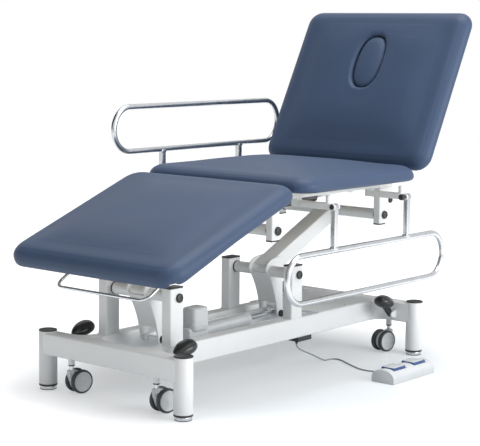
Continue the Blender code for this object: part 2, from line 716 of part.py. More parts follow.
# Hinge lugs with their pins
face = SEAT_CROSS_FOOT - FRAME_TUBE / 2 + INTO_CHANNEL
root_of_lug = [(face, LEG_HINGE[1] - LUG_R), (face, LEG_HINGE[1] + LUG_R)]
add_hinge_lugs(rest, hull(disc(LEG_HINGE, LUG_R) + root_of_lug), SEAT_LUG_Y)
face = SEAT_CROSS_HEAD + FRAME_TUBE / 2 - INTO_CHANNEL
lug = raised_lug(BACK_HINGE, -1, face, FRAME_TOP - 2 * STEP, FRAME_BOTTOM + 2 * STEP)
add_hinge_lugs(rest, lug, SEAT_LUG_Y)
for x, z in (LEG_HINGE, BACK_HINGE):
    for sy in SIDES:
        place = at(x, 0.0, z) @ (ALONG_Y if sy > 0 else UPRIGHT)
        add_rod(rest, HINGE_PIN_R, SEAT_LUG_Y + WELD, HINGE_Y + LUG_T, place, SMALL_ROUND)

# Lugs for the back and leg struts on the middle cross member
x, z = BACK_STRUT_FOOT
hang = FRAME_BOTTOM + STEP + WELD
lug = hull(disc((x, z), STRUT_EYE_R) + [(x - LUG_BASE, hang), (x + LUG_BASE, hang)])
add_lug_pair(rest, lug, 0.0, STRUT_EYE_T, (x, z), STRUT_PIN_R)
face = BACK_STRUT_FOOT[0] - FRAME_TUBE / 2 + INTO_CHANNEL
root_of_lug = [(face, FRAME_BOTTOM + 2 * STEP), (face, FRAME_TOP - 2 * STEP)]
lug = hull(disc(LEG_STRUT_FOOT, STRUT_EYE_R) + root_of_lug)
add_lug_pair(rest, lug, LEG_STRUT_Y, STRUT_EYE_T, LEG_STRUT_FOOT, STRUT_PIN_R)

# Outriggers on blocks under the frame tubes, with forked ends that carry the side rails
fork_end = RAIL_Y - RAIL_EYE_R - 0.004
z0 = RAIL_AXIS_Z - OUTRIGGER_Z / 2
for x in RAIL_POST_X:
    for sy in SIDES:
        ys = sorted((sy * (BRACKET_OUTER_Y - 2 * WELD), sy * fork_end))
        add_box(rest, (x - OUTRIGGER_X / 2, ys[0], z0), (x + OUTRIGGER_X / 2, ys[1], z0 + OUTRIGGER_Z))
        ys = sorted((sy * (FRAME_INNER_Y + STEP), sy * (BRACKET_OUTER_Y - STEP)))
        low = (x - OUTRIGGER_X / 2 + STEP, ys[0], z0 + STEP)
        add_box(rest, low, (x + OUTRIGGER_X / 2 - STEP, ys[1], FRAME_BOTTOM + WELD))
        axis = (sy * RAIL_Y, RAIL_AXIS_Z)
        base_y = sy * (fork_end - 2 * WELD)
        cheek = hull(disc(axis, RAIL_EYE_R) + [(base_y, z0 + STEP), (base_y, z0 + OUTRIGGER_Z - STEP)])
        inner = RAIL_POST / 2 + GAP
        for side in SIDES:
            xs = sorted((x + side * inner, x + side * (inner + RAIL_CHEEK_T)))
            add_plate(rest, cheek, xs[0], xs[1], SIDEWAYS)
        pin = inner + RAIL_CHEEK_T / 2
        add_rod(rest, HINGE_PIN_R, -pin, pin, at(x, sy * RAIL_Y, RAIL_AXIS_Z) @ ALONG_X, SMALL_ROUND)

# Hanging brackets at the upper pivots
UPPER_PIVOTS = [pivot + UPPER_PLACE[0] for pivot in PIVOTS]
for pivot in UPPER_PIVOTS:
    middle = pivot - PIVOT_IN_BRACKET + BRACKET_X / 2
    for sy in SIDES:
        place = at(middle, sy * (BRACKET_OUTER_Y - BRACKET_Y / 2), 0.0)
        add_box_tube(rest, BRACKET_X, BRACKET_Y - 2 * STEP, BRACKET_WALL, UPPER_PIVOT_Z - BRACKET_BELOW,
                     FRAME_BOTTOM + WELD, place)
    add_rod(drills, SHAFT_BORE_R, -2 * BRACKET_OUTER_Y, 2 * BRACKET_OUTER_Y,
            at(pivot, 0.0, UPPER_PIVOT_Z) @ ALONG_Y, ROUND)
upper = joint_frame("upper_frame_axis", (FRONT_PIVOT_X + UPPER_PLACE[0], 0.0, UPPER_PIVOT_Z))
piece = node("seat_frame", core, WHITE, 0.35, frame=upper, in_frame=False)
combine(piece, rest, "UNION")
combine(piece, drills, "DIFFERENCE")
pivot_shaft("front_upper_pivot_shaft", UPPER_PIVOTS[0], UPPER_PIVOT_Z, BRACKET_OUTER_Y, upper)
pivot_shaft("rear_upper_pivot_shaft", UPPER_PIVOTS[1], UPPER_PIVOT_Z, BRACKET_OUTER_Y, upper)


# Padded sections: a board let into the underside of a covered foam pad
def pad_outline(x0, x1, inset):
    """A rectangle with round corners, drawn in by inset; 36 points, anticlockwise from +X."""
    corner = max(PAD_CORNER - inset, 0.012)
    half = PAD_WIDTH / 2 - inset
    low, high = x0 + inset, x1 - inset
    centres = [(high - corner, half - corner), (low + corner, half - corner),
               (low + corner, corner - half), (high - corner, corner - half)]
    points = []
    for quarter, (cx, cy) in enumerate(centres):
        for k in range(6):
            angle = math.pi / 2 * (quarter + k / 5)
            points.append((cx + corner * math.cos(angle), cy + corner * math.sin(angle)))
        start = points[-1]
        nx, ny = centres[(quarter + 1) % 4]
        angle = math.pi / 2 * (quarter + 1)
        stop = (nx + corner * math.cos(angle), ny + corner * math.sin(angle))
        for k in (1, 2, 3):
            share = k / 4
            x = start[0] + (stop[0] - start[0]) * share
            y = start[1] + (stop[1] - start[1]) * share
            points.append((x, y))
    return points[-2:] + points[:-2]


def pad_side():
    """(inset, height) pairs up a pad's side, from its underside to its top."""
    low = [(PAD_UNDER_EDGE * (1 - math.sin(a)), PAD_UNDER_EDGE * (1 - math.cos(a)))
           for a in (0.0, math.pi / 4, math.pi / 2)]
    high = [(PAD_EDGE_IN * (1 - math.cos(a)), PAD_THICK - PAD_EDGE_DOWN * (1 - math.sin(a)))
            for a in (0.0, 0.44, 0.88, 1.31)]
    return low + high


def add_pad(bm, x0, x1, z):
    """A crowned pad with a pocket for its board; z is its underside."""
    pocket = BOARD_INSET - GAP
    deepest = min(x1 - x0, PAD_WIDTH) / 2 - 0.035
    profile = [(pocket, BOARD_T + GAP), (pocket, 0.0)] + pad_side()
    edge, shoulder = profile[-1]
    for share in (0.16, 0.36, 0.62, 1.0):
        rise = PAD_CROWN * (1 - (1 - share) ** 2)
        profile.append((edge + share * (deepest - edge), shoulder + rise))
    rings = []
    for inset, height in profile:
        rings.append([(x, y, z + height) for x, y in pad_outline(x0, x1, inset)])
    add_rings(bm, rings)


def add_board(bm, x0, x1, z, holes=()):
    """A plywood board with its pad's outline."""
    add_plate(bm, pad_outline(x0, x1, BOARD_INSET), 0.0, BOARD_T, at(0.0, 0.0, z), holes)


bm = bmesh.new()
add_board(bm, SEAT_FOOT_X, SEAT_HEAD_X, BOARD_BOTTOM)
node("seat_board", bm, PLY, 0.7, frame=upper, in_frame=False)
bm = bmesh.new()
add_pad(bm, SEAT_FOOT_X, SEAT_HEAD_X, BOARD_BOTTOM)
node("seat_pad", bm, NAVY, 0.45, frame=upper, in_frame=False)

# Leg section, drawn level from its hinge towards the foot
leg = joint_frame("leg_axis", (LEG_HINGE[0], 0.0, LEG_HINGE[1]), -LEG_DOWN)
leg_under = BOARD_BOTTOM - LEG_HINGE[1]
leg_middle = leg_under - GAP - FRAME_TUBE / 2
LEG_HEAD_CROSS = -LUG_R - FRAME_TUBE / 2 - 0.003
LEG_FOOT_CROSS = RELEASE_BAR[0] + 0.004
core = bmesh.new()
rest = bmesh.new()
add_rails(core, rest, LEG_FOOT_CROSS - FRAME_TUBE / 2, LEG_HEAD_CROSS - 0.004, leg_middle)
for x in (LEG_HEAD_CROSS, RELEASE_PIVOT[0] + 0.070, LEG_FOOT_CROSS):
    add_channel(rest, x, leg_middle)
face = LEG_HEAD_CROSS + FRAME_TUBE / 2 - INTO_CHANNEL
add_hinge_lugs(rest, hull(disc((0.0, 0.0), LUG_R) + [(face, -LUG_R), (face, LUG_R)]), HINGE_Y, (0.0, 0.0))
under = leg_middle - FRAME_TUBE / 2 + STEP + WELD
lug = hull(disc(LEG_STRUT_HEAD, STRUT_EYE_R) + [(LEG_HEAD_CROSS - LUG_BASE, under),
                                                (LEG_HEAD_CROSS + LUG_BASE, under)])
add_lug_pair(rest, lug, LEG_STRUT_Y, STRUT_EYE_T, LEG_STRUT_HEAD, STRUT_PIN_R)
combine(node("leg_frame", core, WHITE, 0.35, frame=leg), rest, "UNION")
bm = bmesh.new()
add_board(bm, -LEG_START - LEG_LENGTH, -LEG_START, leg_under)
node("leg_board", bm, PLY, 0.7, frame=leg)
bm = bmesh.new()
add_pad(bm, -LEG_START - LEG_LENGTH, -LEG_START, leg_under)
node("leg_pad", bm, NAVY, 0.45, frame=leg)

# Release bar: a bail that hangs under the leg section, its ends in the frame rails
pivot = Vector((RELEASE_PIVOT[0], 0.0, RELEASE_PIVOT[1]))
bar = Vector((RELEASE_BAR[0], 0.0, RELEASE_BAR[1]))
stub = Vector((0.0, FRAME_INNER_Y - GAP, 0.0))
arm = Vector((0.0, RELEASE_HALF, 0.0))
place = Matrix.Translation(leg.location) @ leg.rotation_euler.to_matrix().to_4x4() @ pivot
release = joint_frame("release_bar_axis", place, -LEG_DOWN)
bm = bmesh.new()
ends = rounded_path([stub, arm, bar - pivot + arm], 0.006, steps=3)[:-1]
corner = rounded_path([arm, bar - pivot + arm, bar - pivot - arm], RELEASE_BEND)[1:-1]
half_path = ends + corner
path = half_path + [Vector((p.x, -p.y, p.z)) for p in reversed(half_path)]
add_sweep(bm, path, RELEASE_R, (bar - pivot).cross(arm))
node("release_bar", bm, STEEL, 0.2, 1.0, frame=release)

# Back section, drawn level from its hinge towards the head
back = joint_frame("back_axis", (BACK_HINGE[0], 0.0, BACK_HINGE[1]), -BACK_UP)
back_under = BOARD_BOTTOM - BACK_HINGE[1]
back_middle = back_under - GAP - FRAME_TUBE / 2
BACK_FIRST_CROSS = 2 * LUG_R + FRAME_TUBE / 2 + 0.004
BACK_LAST_CROSS = HOLE_FROM_HINGE + HOLE_LENGTH / 2 + 0.034
core = bmesh.new()
rest = bmesh.new()
add_rails(core, rest, BACK_FIRST_CROSS - FRAME_TUBE / 2, BACK_LAST_CROSS + FRAME_TUBE / 2, back_middle)
for x in (BACK_FIRST_CROSS, HOLE_FROM_HINGE - HOLE_LENGTH / 2 - 0.034, BACK_LAST_CROSS):
    add_channel(rest, x, back_middle)
face = BACK_FIRST_CROSS - FRAME_TUBE / 2 + INTO_CHANNEL
low, high = back_middle - FRAME_TUBE / 2, back_middle + FRAME_TUBE / 2
add_hinge_lugs(rest, raised_lug((0.0, 0.0), 1, face, high - 2 * STEP, low + 2 * STEP), HINGE_Y, (0.0, 0.0))
under = low + STEP + WELD
lug = hull(disc(BACK_STRUT_HEAD, STRUT_EYE_R) + [(BACK_FIRST_CROSS - LUG_BASE, under),
                                                 (BACK_FIRST_CROSS + LUG_BASE, under)])
add_lug_pair(rest, lug, 0.0, STRUT_EYE_T, BACK_STRUT_HEAD, STRUT_PIN_R)
combine(node("back_frame", core, WHITE, 0.35, frame=back), rest, "UNION")


def oval(inset):
    """The breathing hole's outline, drawn in by inset: a rounded oval of 36 points."""
    points = []
    for i in range(36):
        c = math.cos(2 * math.pi * i / 36)
        s = math.sin(2 * math.pi * i / 36)
        x = (HOLE_LENGTH / 2 - inset) * math.copysign(abs(c) ** 0.8, c)
        y = (HOLE_WIDTH / 2 - inset) * math.copysign(abs(s) ** 0.8, s)
        points.append((HOLE_FROM_HINGE + x, y))
    return points


back_span = (BACK_START, BACK_START + BACK_LENGTH)
bm = bmesh.new()
add_board(bm, *back_span, back_under, [oval(0.0)])
node("back_board", bm, PLY, 0.7, frame=back)

bm = bmesh.new()
pocket = pad_outline(*back_span, BOARD_INSET - GAP)
edge, height = pad_side()[-1]
shoulder = pad_outline(*back_span, edge)
rim = oval(0.0)
rings = [[(x, y, BOARD_T + GAP) for x, y in pocket], [(x, y, 0.0) for x, y in pocket]]
for inset, rise in pad_side():
    rings.append([(x, y, rise) for x, y in pad_outline(*back_span, inset)])
for share in (0.2, 0.5, 0.8):
    rise = PAD_CROWN * math.sin(math.pi * share)
    rings.append([(a[0] + (b[0] - a[0]) * share, a[1] + (b[1] - a[1]) * share, height + rise)
                  for a, b in zip(shoulder, rim)])
rings.append([(x, y, PAD_THICK) for x, y in oval(-0.010)])
rings.append([(x, y, PAD_THICK - 0.010) for x, y in rim])
rings.append([(x, y, BOARD_T + GAP) for x, y in rim])
add_rings(bm, rings, at(0.0, 0.0, back_under), closed=True)
node("back_pad", bm, NAVY, 0.45, frame=back)

bm = bmesh.new()
profile = [(PLUG_FIT, 0.0), (PLUG_FIT, BOARD_T), (PLUG_GAP, BOARD_T), (PLUG_GAP, PAD_THICK - 0.012),
           (PLUG_GAP + 0.004, PAD_THICK - 0.004), (PLUG_GAP + 0.013, PAD_THICK), (0.045, PAD_THICK + 0.004)]
add_rings(bm, [[(x, y, back_under + height) for x, y in oval(inset)] for inset, height in profile])
node("face_hole_plug", bm, NAVY, 0.45, frame=back)

# Back and leg struts
strut_head = turned_up(BACK_STRUT_HEAD, BACK_UP)
strut_eye = (STRUT_EYE_R, STRUT_EYE_T, STRUT_PIN_R, STRUT_PIN_R)
head = (BACK_HINGE[0] + strut_head[0], BACK_HINGE[1] + strut_head[1])
core, rest, frame = telescope("back_strut", BACK_STRUT_FOOT, head, 0.0, BACK_STRUT_R, BACK_STRUT_BODY,
                              BACK_STRUT_ROD_R, BACK_STRUT_ROD, BACK_STRUT_PLAY, 0.060, strut_eye)
combine(node("back_strut_cylinder", core, BLACK, 0.35, frame=frame), rest, "UNION")
strut_head = turned_up(LEG_STRUT_HEAD, LEG_DOWN)
head = (LEG_HINGE[0] + strut_head[0], LEG_HINGE[1] + strut_head[1])
core, rest, frame = telescope("leg_strut", LEG_STRUT_FOOT, head, LEG_STRUT_Y, LEG_STRUT_R, LEG_STRUT_BODY,
                              LEG_STRUT_ROD_R, LEG_STRUT_ROD, LEG_STRUT_PLAY, 0.060, strut_eye)
combine(node("leg_strut_cylinder", core, BLACK, 0.35, frame=frame), rest, "UNION")


# Side rails: a closed tube loop on two square posts that flip about the outriggers
def side_rail(name, sy, up):
    """One side rail; up is +1 when raised and -1 when hanging."""
    frame = joint_frame(name + "_axis", (0.0, sy * RAIL_Y, RAIL_AXIS_Z))
    core = bmesh.new()
    rest = bmesh.new()
    near, far = up * RAIL_NEAR_BAR, up * RAIL_FAR_BAR
    bend = (RAIL_FAR_BAR - RAIL_NEAR_BAR) / 2 - 0.001
    corners = [(RAIL_FOOT_X, 0.0, near), (RAIL_HEAD_X, 0.0, near),
               (RAIL_HEAD_X, 0.0, far), (RAIL_FOOT_X, 0.0, far)]
    add_sweep(core, rounded_path(corners, bend, closed=True), RAIL_TUBE_R, (0.0, 1.0, 0.0), closed=True)
    half = RAIL_POST / 2
    end = up * (RAIL_NEAR_BAR - RAIL_TUBE_R / 3)
    for x in RAIL_POST_X:
        bottom = [p for p in disc((0.0, 0.0), half) if up * p[1] < 1e-6]
        outline = hull(bottom + [(-half, end), (half, end)])
        add_plate(rest, outline, x - half, x + half, SIDEWAYS, [disc((0.0, 0.0), HINGE_PIN_R + RUN)])
    combine(node(name, core, STEEL, 0.18, 1.0, frame=frame), rest, "UNION")


side_rail("near_side_rail", -1, -1)
side_rail("far_side_rail", 1, 1)
for name, sy in (("near", -1), ("far", 1)):
    edge = RAIL_POST_X[1] - RAIL_POST / 2 - RAIL_CHEEK_T - 2 * GAP
    frame = joint_frame(name + "_rail_lock_axis", (edge, sy * RAIL_Y, RAIL_AXIS_Z))
    bm = bmesh.new()
    add_turned(bm, [(KNOB_R * 0.6, 0.0), (KNOB_R * 0.6, -KNOB_L * 0.35), (KNOB_R, -KNOB_L * 0.4),
                    (KNOB_R, -KNOB_L)], ALONG_X, SMALL_ROUND)
    node(name + "_rail_lock_knob", bm, BLACK, 0.4, frame=frame)

# Casters that lift, each with its own pedal
for sx, sy in CORNERS:
    tag = END_NAME[sx] + "_" + SIDE_NAME[sy]
    frame = joint_frame("caster_%s_axis" % tag, (sx * POST_X, sy * CASTER_Y, 0.0),
                        turn=CASTER_TURN + (0.0 if sx < 0 else math.pi))
    bm = bmesh.new()
    add_rod(bm, STEM_R, HOUSING_TOP + GAP, STEM_TOP, Matrix.Identity(4), SMALL_ROUND)
    node("caster_%s_stem" % tag, bm, STEEL, 0.3, 1.0, frame=frame)
    axle = (CASTER_TRAIL, WHEEL_R + WHEEL_CLEAR)
    neck = GUIDE_R + 0.003
    outline = hull(disc(axle, HOUSING_R, ROUND) + [(-neck, HOUSING_TOP), (neck, HOUSING_TOP),
                                                  (-neck, HOUSING_TOP - 0.018)])
    bm = bmesh.new()
    add_upright(bm, outline, -HOUSING_HALF, HOUSING_HALF, [disc(axle, AXLE_R + RUN)])
    node("caster_%s_housing" % tag, bm, GREY, 0.4, frame=frame)
    inner = HOUSING_HALF + 2 * GAP
    outer = inner + WHEEL_W
    half = [(AXLE_R, inner), (WHEEL_R - 0.002, inner), (WHEEL_R, inner + 0.004), (WHEEL_R, outer - 0.005),
            (WHEEL_R - 0.006, outer), (HUB_R, outer), (HUB_R * 0.9, outer - 0.001)]
    bm = bmesh.new()
    add_turned(bm, [(r, -h) for r, h in reversed(half)] + half, at(axle[0], 0.0, axle[1]) @ ALONG_Y)
    node("caster_%s_wheels" % tag, bm, (0.30, 0.31, 0.33), 0.5, frame=frame)

    px, pz = sx * (POST_X - PEDAL_PIVOT[0]), PEDAL_PIVOT[1]
    frame = joint_frame("pedal_%s_axis" % tag, (px, sy * PEDAL_Y, pz))
    cx = -sx * (PEDAL_CENTRE[0] - PEDAL_PIVOT[0])
    cz = PEDAL_CENTRE[1] - PEDAL_PIVOT[1]
    core = bmesh.new()
    stalk = hull(disc((0.0, 0.0), LUG_R * 0.9) + [(cx - 0.010, cz), (cx + 0.010, cz)])
    add_upright(core, stalk, -PEDAL_STALK_W / 2, PEDAL_STALK_W / 2, [disc((0.0, 0.0), HINGE_PIN_R + RUN)])
    rest = bmesh.new()
    rings = []
    for k in range(7):
        lift = math.pi * (k / 6 - 0.5)
        spread = math.cos(lift) if k % 6 else 0.0
        size = (spread * PEDAL_LENGTH / 2, spread * PEDAL_WIDTH / 2)
        height = cz + math.sin(lift) * PEDAL_HEIGHT / 2
        rings.append([(cx + u * size[0], v * size[1], height) for u, v in circle(1.0, SMALL_ROUND)]
                     if spread else [(cx, 0.0, height)])
    add_rings(rest, rings)
    combine(node("pedal_" + tag, core, BLACK, 0.35, frame=frame), rest, "UNION")

# Cover plate over the head end of the base, and the junction box under the near beam
bm = bmesh.new()
cover_end = POST_X - COVER_FROM_POST
add_box(bm, (cover_end - COVER_LENGTH, -SIDE_BEAM_Y, SIDE_TOP + GAP),
        (cover_end, SIDE_BEAM_Y, SIDE_TOP + GAP + COVER_T))
node("base_cover_plate", bm, WHITE, 0.35)
bm = bmesh.new()
box_top = BEAM_BOTTOM + STEP - GAP
add_box(bm, (JUNCTION_X[0], JUNCTION_Y[0], box_top - JUNCTION_H), (JUNCTION_X[1], JUNCTION_Y[1], box_top))
node("junction_box", bm, BLACK, 0.5)
bm = bmesh.new()
gland_top = box_top - JUNCTION_H - GAP
add_turned(bm, [(GLAND_R, 0.0), (GLAND_R, -GLAND_L * 0.5), (GLAND_R * 0.65, -GLAND_L)],
           at(*GLAND_XY, gland_top), SMALL_ROUND)
node("cord_gland", bm, BLACK, 0.5)

# Foot switch: a low rounded body with two wells, and a pad in each
middle_x = sum(SWITCH_X) / 2
middle_y = sum(SWITCH_Y) / 2
half_y = (SWITCH_Y[1] - SWITCH_Y[0]) / 2
bm = bmesh.new()
dome = [(-half_y, 0.0), (half_y, 0.0)]
dome += [(half_y * math.cos(t), 0.010 + (SWITCH_H - 0.010) * math.sin(t) ** 0.5)
         for t in [math.pi * k / 12 for k in range(13)]]
add_plate(bm, dome, SWITCH_X[0], SWITCH_X[1], at(0.0, middle_y, 0.0) @ SIDEWAYS)
body = node("foot_switch_body", bm, WHITE, 0.4)
wells = bmesh.new()
for side in SIDES:
    x = middle_x + side * SWITCH_PAD_OFFSET
    fit = 0.0004
    low = (x - SWITCH_PAD[0] / 2 - fit, middle_y - SWITCH_PAD[1] / 2 - fit, SWITCH_H - SWITCH_WELL)
    high = (x + SWITCH_PAD[0] / 2 + fit, middle_y + SWITCH_PAD[1] / 2 + fit, SWITCH_H + 0.02)
    add_box(wells, low, high)
    frame = joint_frame("foot_switch_%s_axis" % END_NAME[side], (x, middle_y, SWITCH_H))
    bm = bmesh.new()
    half = (SWITCH_PAD[0] / 2, SWITCH_PAD[1] / 2)
    foot = SWITCH_TRAVEL + GAP - SWITCH_WELL
    rings = [[(u * half[0] * s, v * half[1] * s, z) for u, v in ((-1, -1), (1, -1), (1, 1), (-1, 1))]
             for s, z in ((1.0, foot), (1.0, 0.0015), (0.88, 0.004))]
    add_rings(bm, rings)
    node("foot_switch_pad_" + END_NAME[side], bm, BLUE, 0.4, frame=frame)
combine(body, wells, "DIFFERENCE")

# Foot-switch cord: hangs from the gland, lies on the floor and enters the switch's far side
lie = CORD_R + 0.0002
entry_x = middle_x + 0.007
tip = gland_top - GLAND_L - GAP
route = [(*GLAND_XY, tip), (*GLAND_XY, tip - 0.004), (GLAND_XY[0] + 0.006, GLAND_XY[1], tip - 0.013),
         (GLAND_XY[0] + 0.022, GLAND_XY[1], 0.064), (0.184, -0.128, 0.052), (0.227, -0.128, 0.034),
         (0.267, -0.127, 0.0155), (0.296, -0.126, 0.0045), (0.317, -0.125, lie), (0.334, -0.129, lie),
         (0.344, -0.145, lie), (0.338, -0.168, lie), (0.325, -0.191, lie), (0.297, -0.241, lie),
         (0.274, -0.291, lie), (0.272, -0.333, lie), (0.284, -0.366, 0.004),
         (entry_x, SWITCH_Y[1] + 0.020, CORD_ENTRY_Z - 0.001), (entry_x, SWITCH_Y[1] + 0.006, CORD_ENTRY_Z),
         (entry_x, SWITCH_Y[1] + 2 * GAP, CORD_ENTRY_Z)]
route = [Vector(point) for point in route]
points = []
for i in range(len(route) - 1):
    p0, p1, p2 = route[max(i - 1, 0)], route[i], route[i + 1]
    p3 = route[min(i + 2, len(route) - 1)]
    steps = max(1, round((p2 - p1).length / (5 * CORD_R)))
    for k in range(steps):
        t = k / steps
        points.append(0.5 * (2 * p1 + (p2 - p0) * t + (2 * p0 - 5 * p1 + 4 * p2 - p3) * t * t
                             + (3 * p1 - p0 - 3 * p2 + p3) * t ** 3))
points.append(route[-1])
curve = bpy.data.curves.new("foot_switch_cord", "CURVE")
curve.dimensions = "3D"
curve.bevel_depth = CORD_R
curve.bevel_resolution = 2
curve.use_fill_caps = True
spline = curve.splines.new("POLY")
spline.points.add(len(points) - 1)
for point, place in zip(spline.points, points):
    point.co = (*place, 1.0)
cord = bpy.data.objects.new("foot_switch_cord", curve)
scene.collection.objects.link(cord)
cord.parent = root
curve.materials.append(material("foot_switch_cord", (0.45, 0.46, 0.48), 0.5))

# The origin is under the middle of the whole couch, on the floor
bpy.context.view_layer.update()
low = Vector((1e9, 1e9, 1e9))
high = -low
graph = bpy.context.evaluated_depsgraph_get()
for piece in scene.objects:
    if piece.type == "MESH" and not piece.hide_render:
        for vertex in piece.evaluated_get(graph).data.vertices:
            spot = piece.matrix_world @ vertex.co
            low = Vector(map(min, low, spot))
            high = Vector(map(max, high, spot))
root.location = (-(low.x + high.x) / 2, -(low.y + high.y) / 2, 0.0)
bpy.context.view_layer.update()
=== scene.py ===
"""Electric examination couch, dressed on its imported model.

Metres, +Z up, head end towards +X, near long side towards -Y. Sizes are from the middle of the base.
"""

import math

import bmesh
import bpy
import numpy as np
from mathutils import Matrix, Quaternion, Vector


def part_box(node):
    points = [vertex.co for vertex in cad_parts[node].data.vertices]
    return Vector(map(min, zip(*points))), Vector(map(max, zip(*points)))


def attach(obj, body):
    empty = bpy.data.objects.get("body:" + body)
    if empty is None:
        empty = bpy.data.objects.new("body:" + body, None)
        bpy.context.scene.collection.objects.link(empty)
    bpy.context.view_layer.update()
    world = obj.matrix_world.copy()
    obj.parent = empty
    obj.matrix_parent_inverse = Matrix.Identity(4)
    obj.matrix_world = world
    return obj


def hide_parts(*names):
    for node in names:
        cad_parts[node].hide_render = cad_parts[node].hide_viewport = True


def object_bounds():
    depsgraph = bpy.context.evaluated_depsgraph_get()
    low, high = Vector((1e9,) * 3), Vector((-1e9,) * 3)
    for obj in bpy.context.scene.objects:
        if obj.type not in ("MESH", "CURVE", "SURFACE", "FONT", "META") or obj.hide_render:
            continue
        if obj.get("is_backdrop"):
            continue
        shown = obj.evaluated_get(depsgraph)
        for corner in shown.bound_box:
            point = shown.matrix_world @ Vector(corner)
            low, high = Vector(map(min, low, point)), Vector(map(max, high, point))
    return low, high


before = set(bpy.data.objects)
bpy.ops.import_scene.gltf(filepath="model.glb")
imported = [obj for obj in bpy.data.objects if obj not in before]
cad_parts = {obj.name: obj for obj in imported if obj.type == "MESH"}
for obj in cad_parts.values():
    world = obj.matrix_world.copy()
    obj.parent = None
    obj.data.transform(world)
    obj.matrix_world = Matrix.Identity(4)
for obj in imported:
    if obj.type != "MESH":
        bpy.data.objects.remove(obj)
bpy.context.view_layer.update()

# Studio. A pale seamless floor and a white surround, lit by large soft lamps overhead and on the near side.
# Dark cards, seen only by reflections, give the bright metal its edges and keep the raised back and seat deep
# in tone.
scene = bpy.context.scene
scene.view_settings.view_transform = "Standard"
base_low, base_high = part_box("base_frame")
MIDDLE = np.array([(base_low.x + base_high.x) / 2, (base_low.y + base_high.y) / 2, 0.0])

lens = bpy.data.cameras.new("camera")
lens.sensor_width = 36.0
lens.lens = 112.94
camera = bpy.data.objects.new("camera", lens)
scene.collection.objects.link(camera)
camera.location = MIDDLE + np.array([-3.7702, -3.1458, 1.1325])
camera.rotation_mode = "QUATERNION"
looking = Vector((0.7604, 0.6365, -0.1289)).to_track_quat("-Z", "Y")
camera.rotation_quaternion = looking @ Quaternion((0.0, 0.0, 1.0), math.radians(0.58))
scene.camera = camera


def linear(colour):
    """sRGB hex to linear RGBA: low values / 12.92, the rest ((c + 0.055) / 1.055) to the power 2.4."""
    c = np.array([int(colour[i:i + 2], 16) for i in (1, 3, 5)]) / 255.0
    c = np.where(c < 0.04045, c / 12.92, ((c + 0.055) / 1.055) ** 2.4)
    return (*c.tolist(), 1.0)


def add_node(tree, kind, inputs=None, **settings):
    """Adds a node with its settings; an input is a value, or another node's output to link."""
    made = tree.nodes.new(kind)
    for name, value in settings.items():
        setattr(made, name, value)
    for socket, value in (inputs or {}).items():
        if isinstance(value, bpy.types.NodeSocket):
            tree.links.new(value, made.inputs[socket])
        else:
            made.inputs[socket].default_value = value
    return made


def seen_directly(tree):
    """1 for rays that show the surround itself: camera, glossy and transmission rays."""
    path = add_node(tree, "ShaderNodeLightPath")
    either = add_node(tree, "ShaderNodeMath",
                      {0: path.outputs["Is Camera Ray"], 1: path.outputs["Is Glossy Ray"]},
                      operation="MAXIMUM")
    return add_node(tree, "ShaderNodeMath", {0: either.outputs[0], 1: path.outputs["Is Transmission Ray"]},
                    operation="MAXIMUM").outputs[0]


surround = bpy.data.worlds.new("white_surround")
surround.use_nodes = True
scene.world = surround
tree = surround.node_tree
tree.nodes.clear()
level = add_node(tree, "ShaderNodeMapRange", {"Value": seen_directly(tree), "To Min": 0.28, "To Max": 1.0})
air = add_node(tree, "ShaderNodeBackground", {"Color": (1.0, 1.0, 1.0, 1.0), "Strength": level.outputs[0]})
add_node(tree, "ShaderNodeOutputWorld", {"Surface": air.outputs[0]})


def flat_card(name, corners):
    """A flat four-sided card."""
    mesh = bpy.data.meshes.new(name)
    mesh.from_pydata(corners, [], [(0, 1, 2, 3)])
    card = bpy.data.objects.new(name, mesh)
    scene.collection.objects.link(card)
    card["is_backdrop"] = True
    return card


def new_finish(name):
    """An empty material and its node tree."""
    finish = bpy.data.materials.new(name)
    finish.use_nodes = True
    finish.node_tree.nodes.clear()
    return finish, finish.node_tree


floor = flat_card("floor", [(-9, -9, 0), (9, -9, 0), (9, 9, 0), (-9, 9, 0)])
paper, tree = new_finish("pale_floor")
place = add_node(tree, "ShaderNodeTexCoord")
away = add_node(tree, "ShaderNodeVectorMath", {0: place.outputs["Object"]}, operation="LENGTH")
fade = add_node(tree, "ShaderNodeMapRange",
                {"Value": away.outputs["Value"], "From Min": 0.45, "From Max": 1.15},
                interpolation_type="SMOOTHSTEP")
tint = add_node(tree, "ShaderNodeMix",
                {"Factor": fade.outputs[0], "A": linear("#BFC5CA"), "B": linear("#FAFBFC")}, data_type="RGBA")
glow = add_node(tree, "ShaderNodeMapRange", {"Value": fade.outputs[0], "To Min": 0.35, "To Max": 0.60})
shown = add_node(tree, "ShaderNodeMath", {0: glow.outputs[0], 1: seen_directly(tree)}, operation="MULTIPLY")
shader = add_node(tree, "ShaderNodeBsdfPrincipled",
                  {"Base Color": tint.outputs["Result"], "Roughness": 0.42, "Specular IOR Level": 0.12,
                   "Emission Color": (1.0, 1.0, 1.0, 1.0), "Emission Strength": shown.outputs[0]})
add_node(tree, "ShaderNodeOutputMaterial", {"Surface": shader.outputs[0]})
floor.data.materials.append(paper)

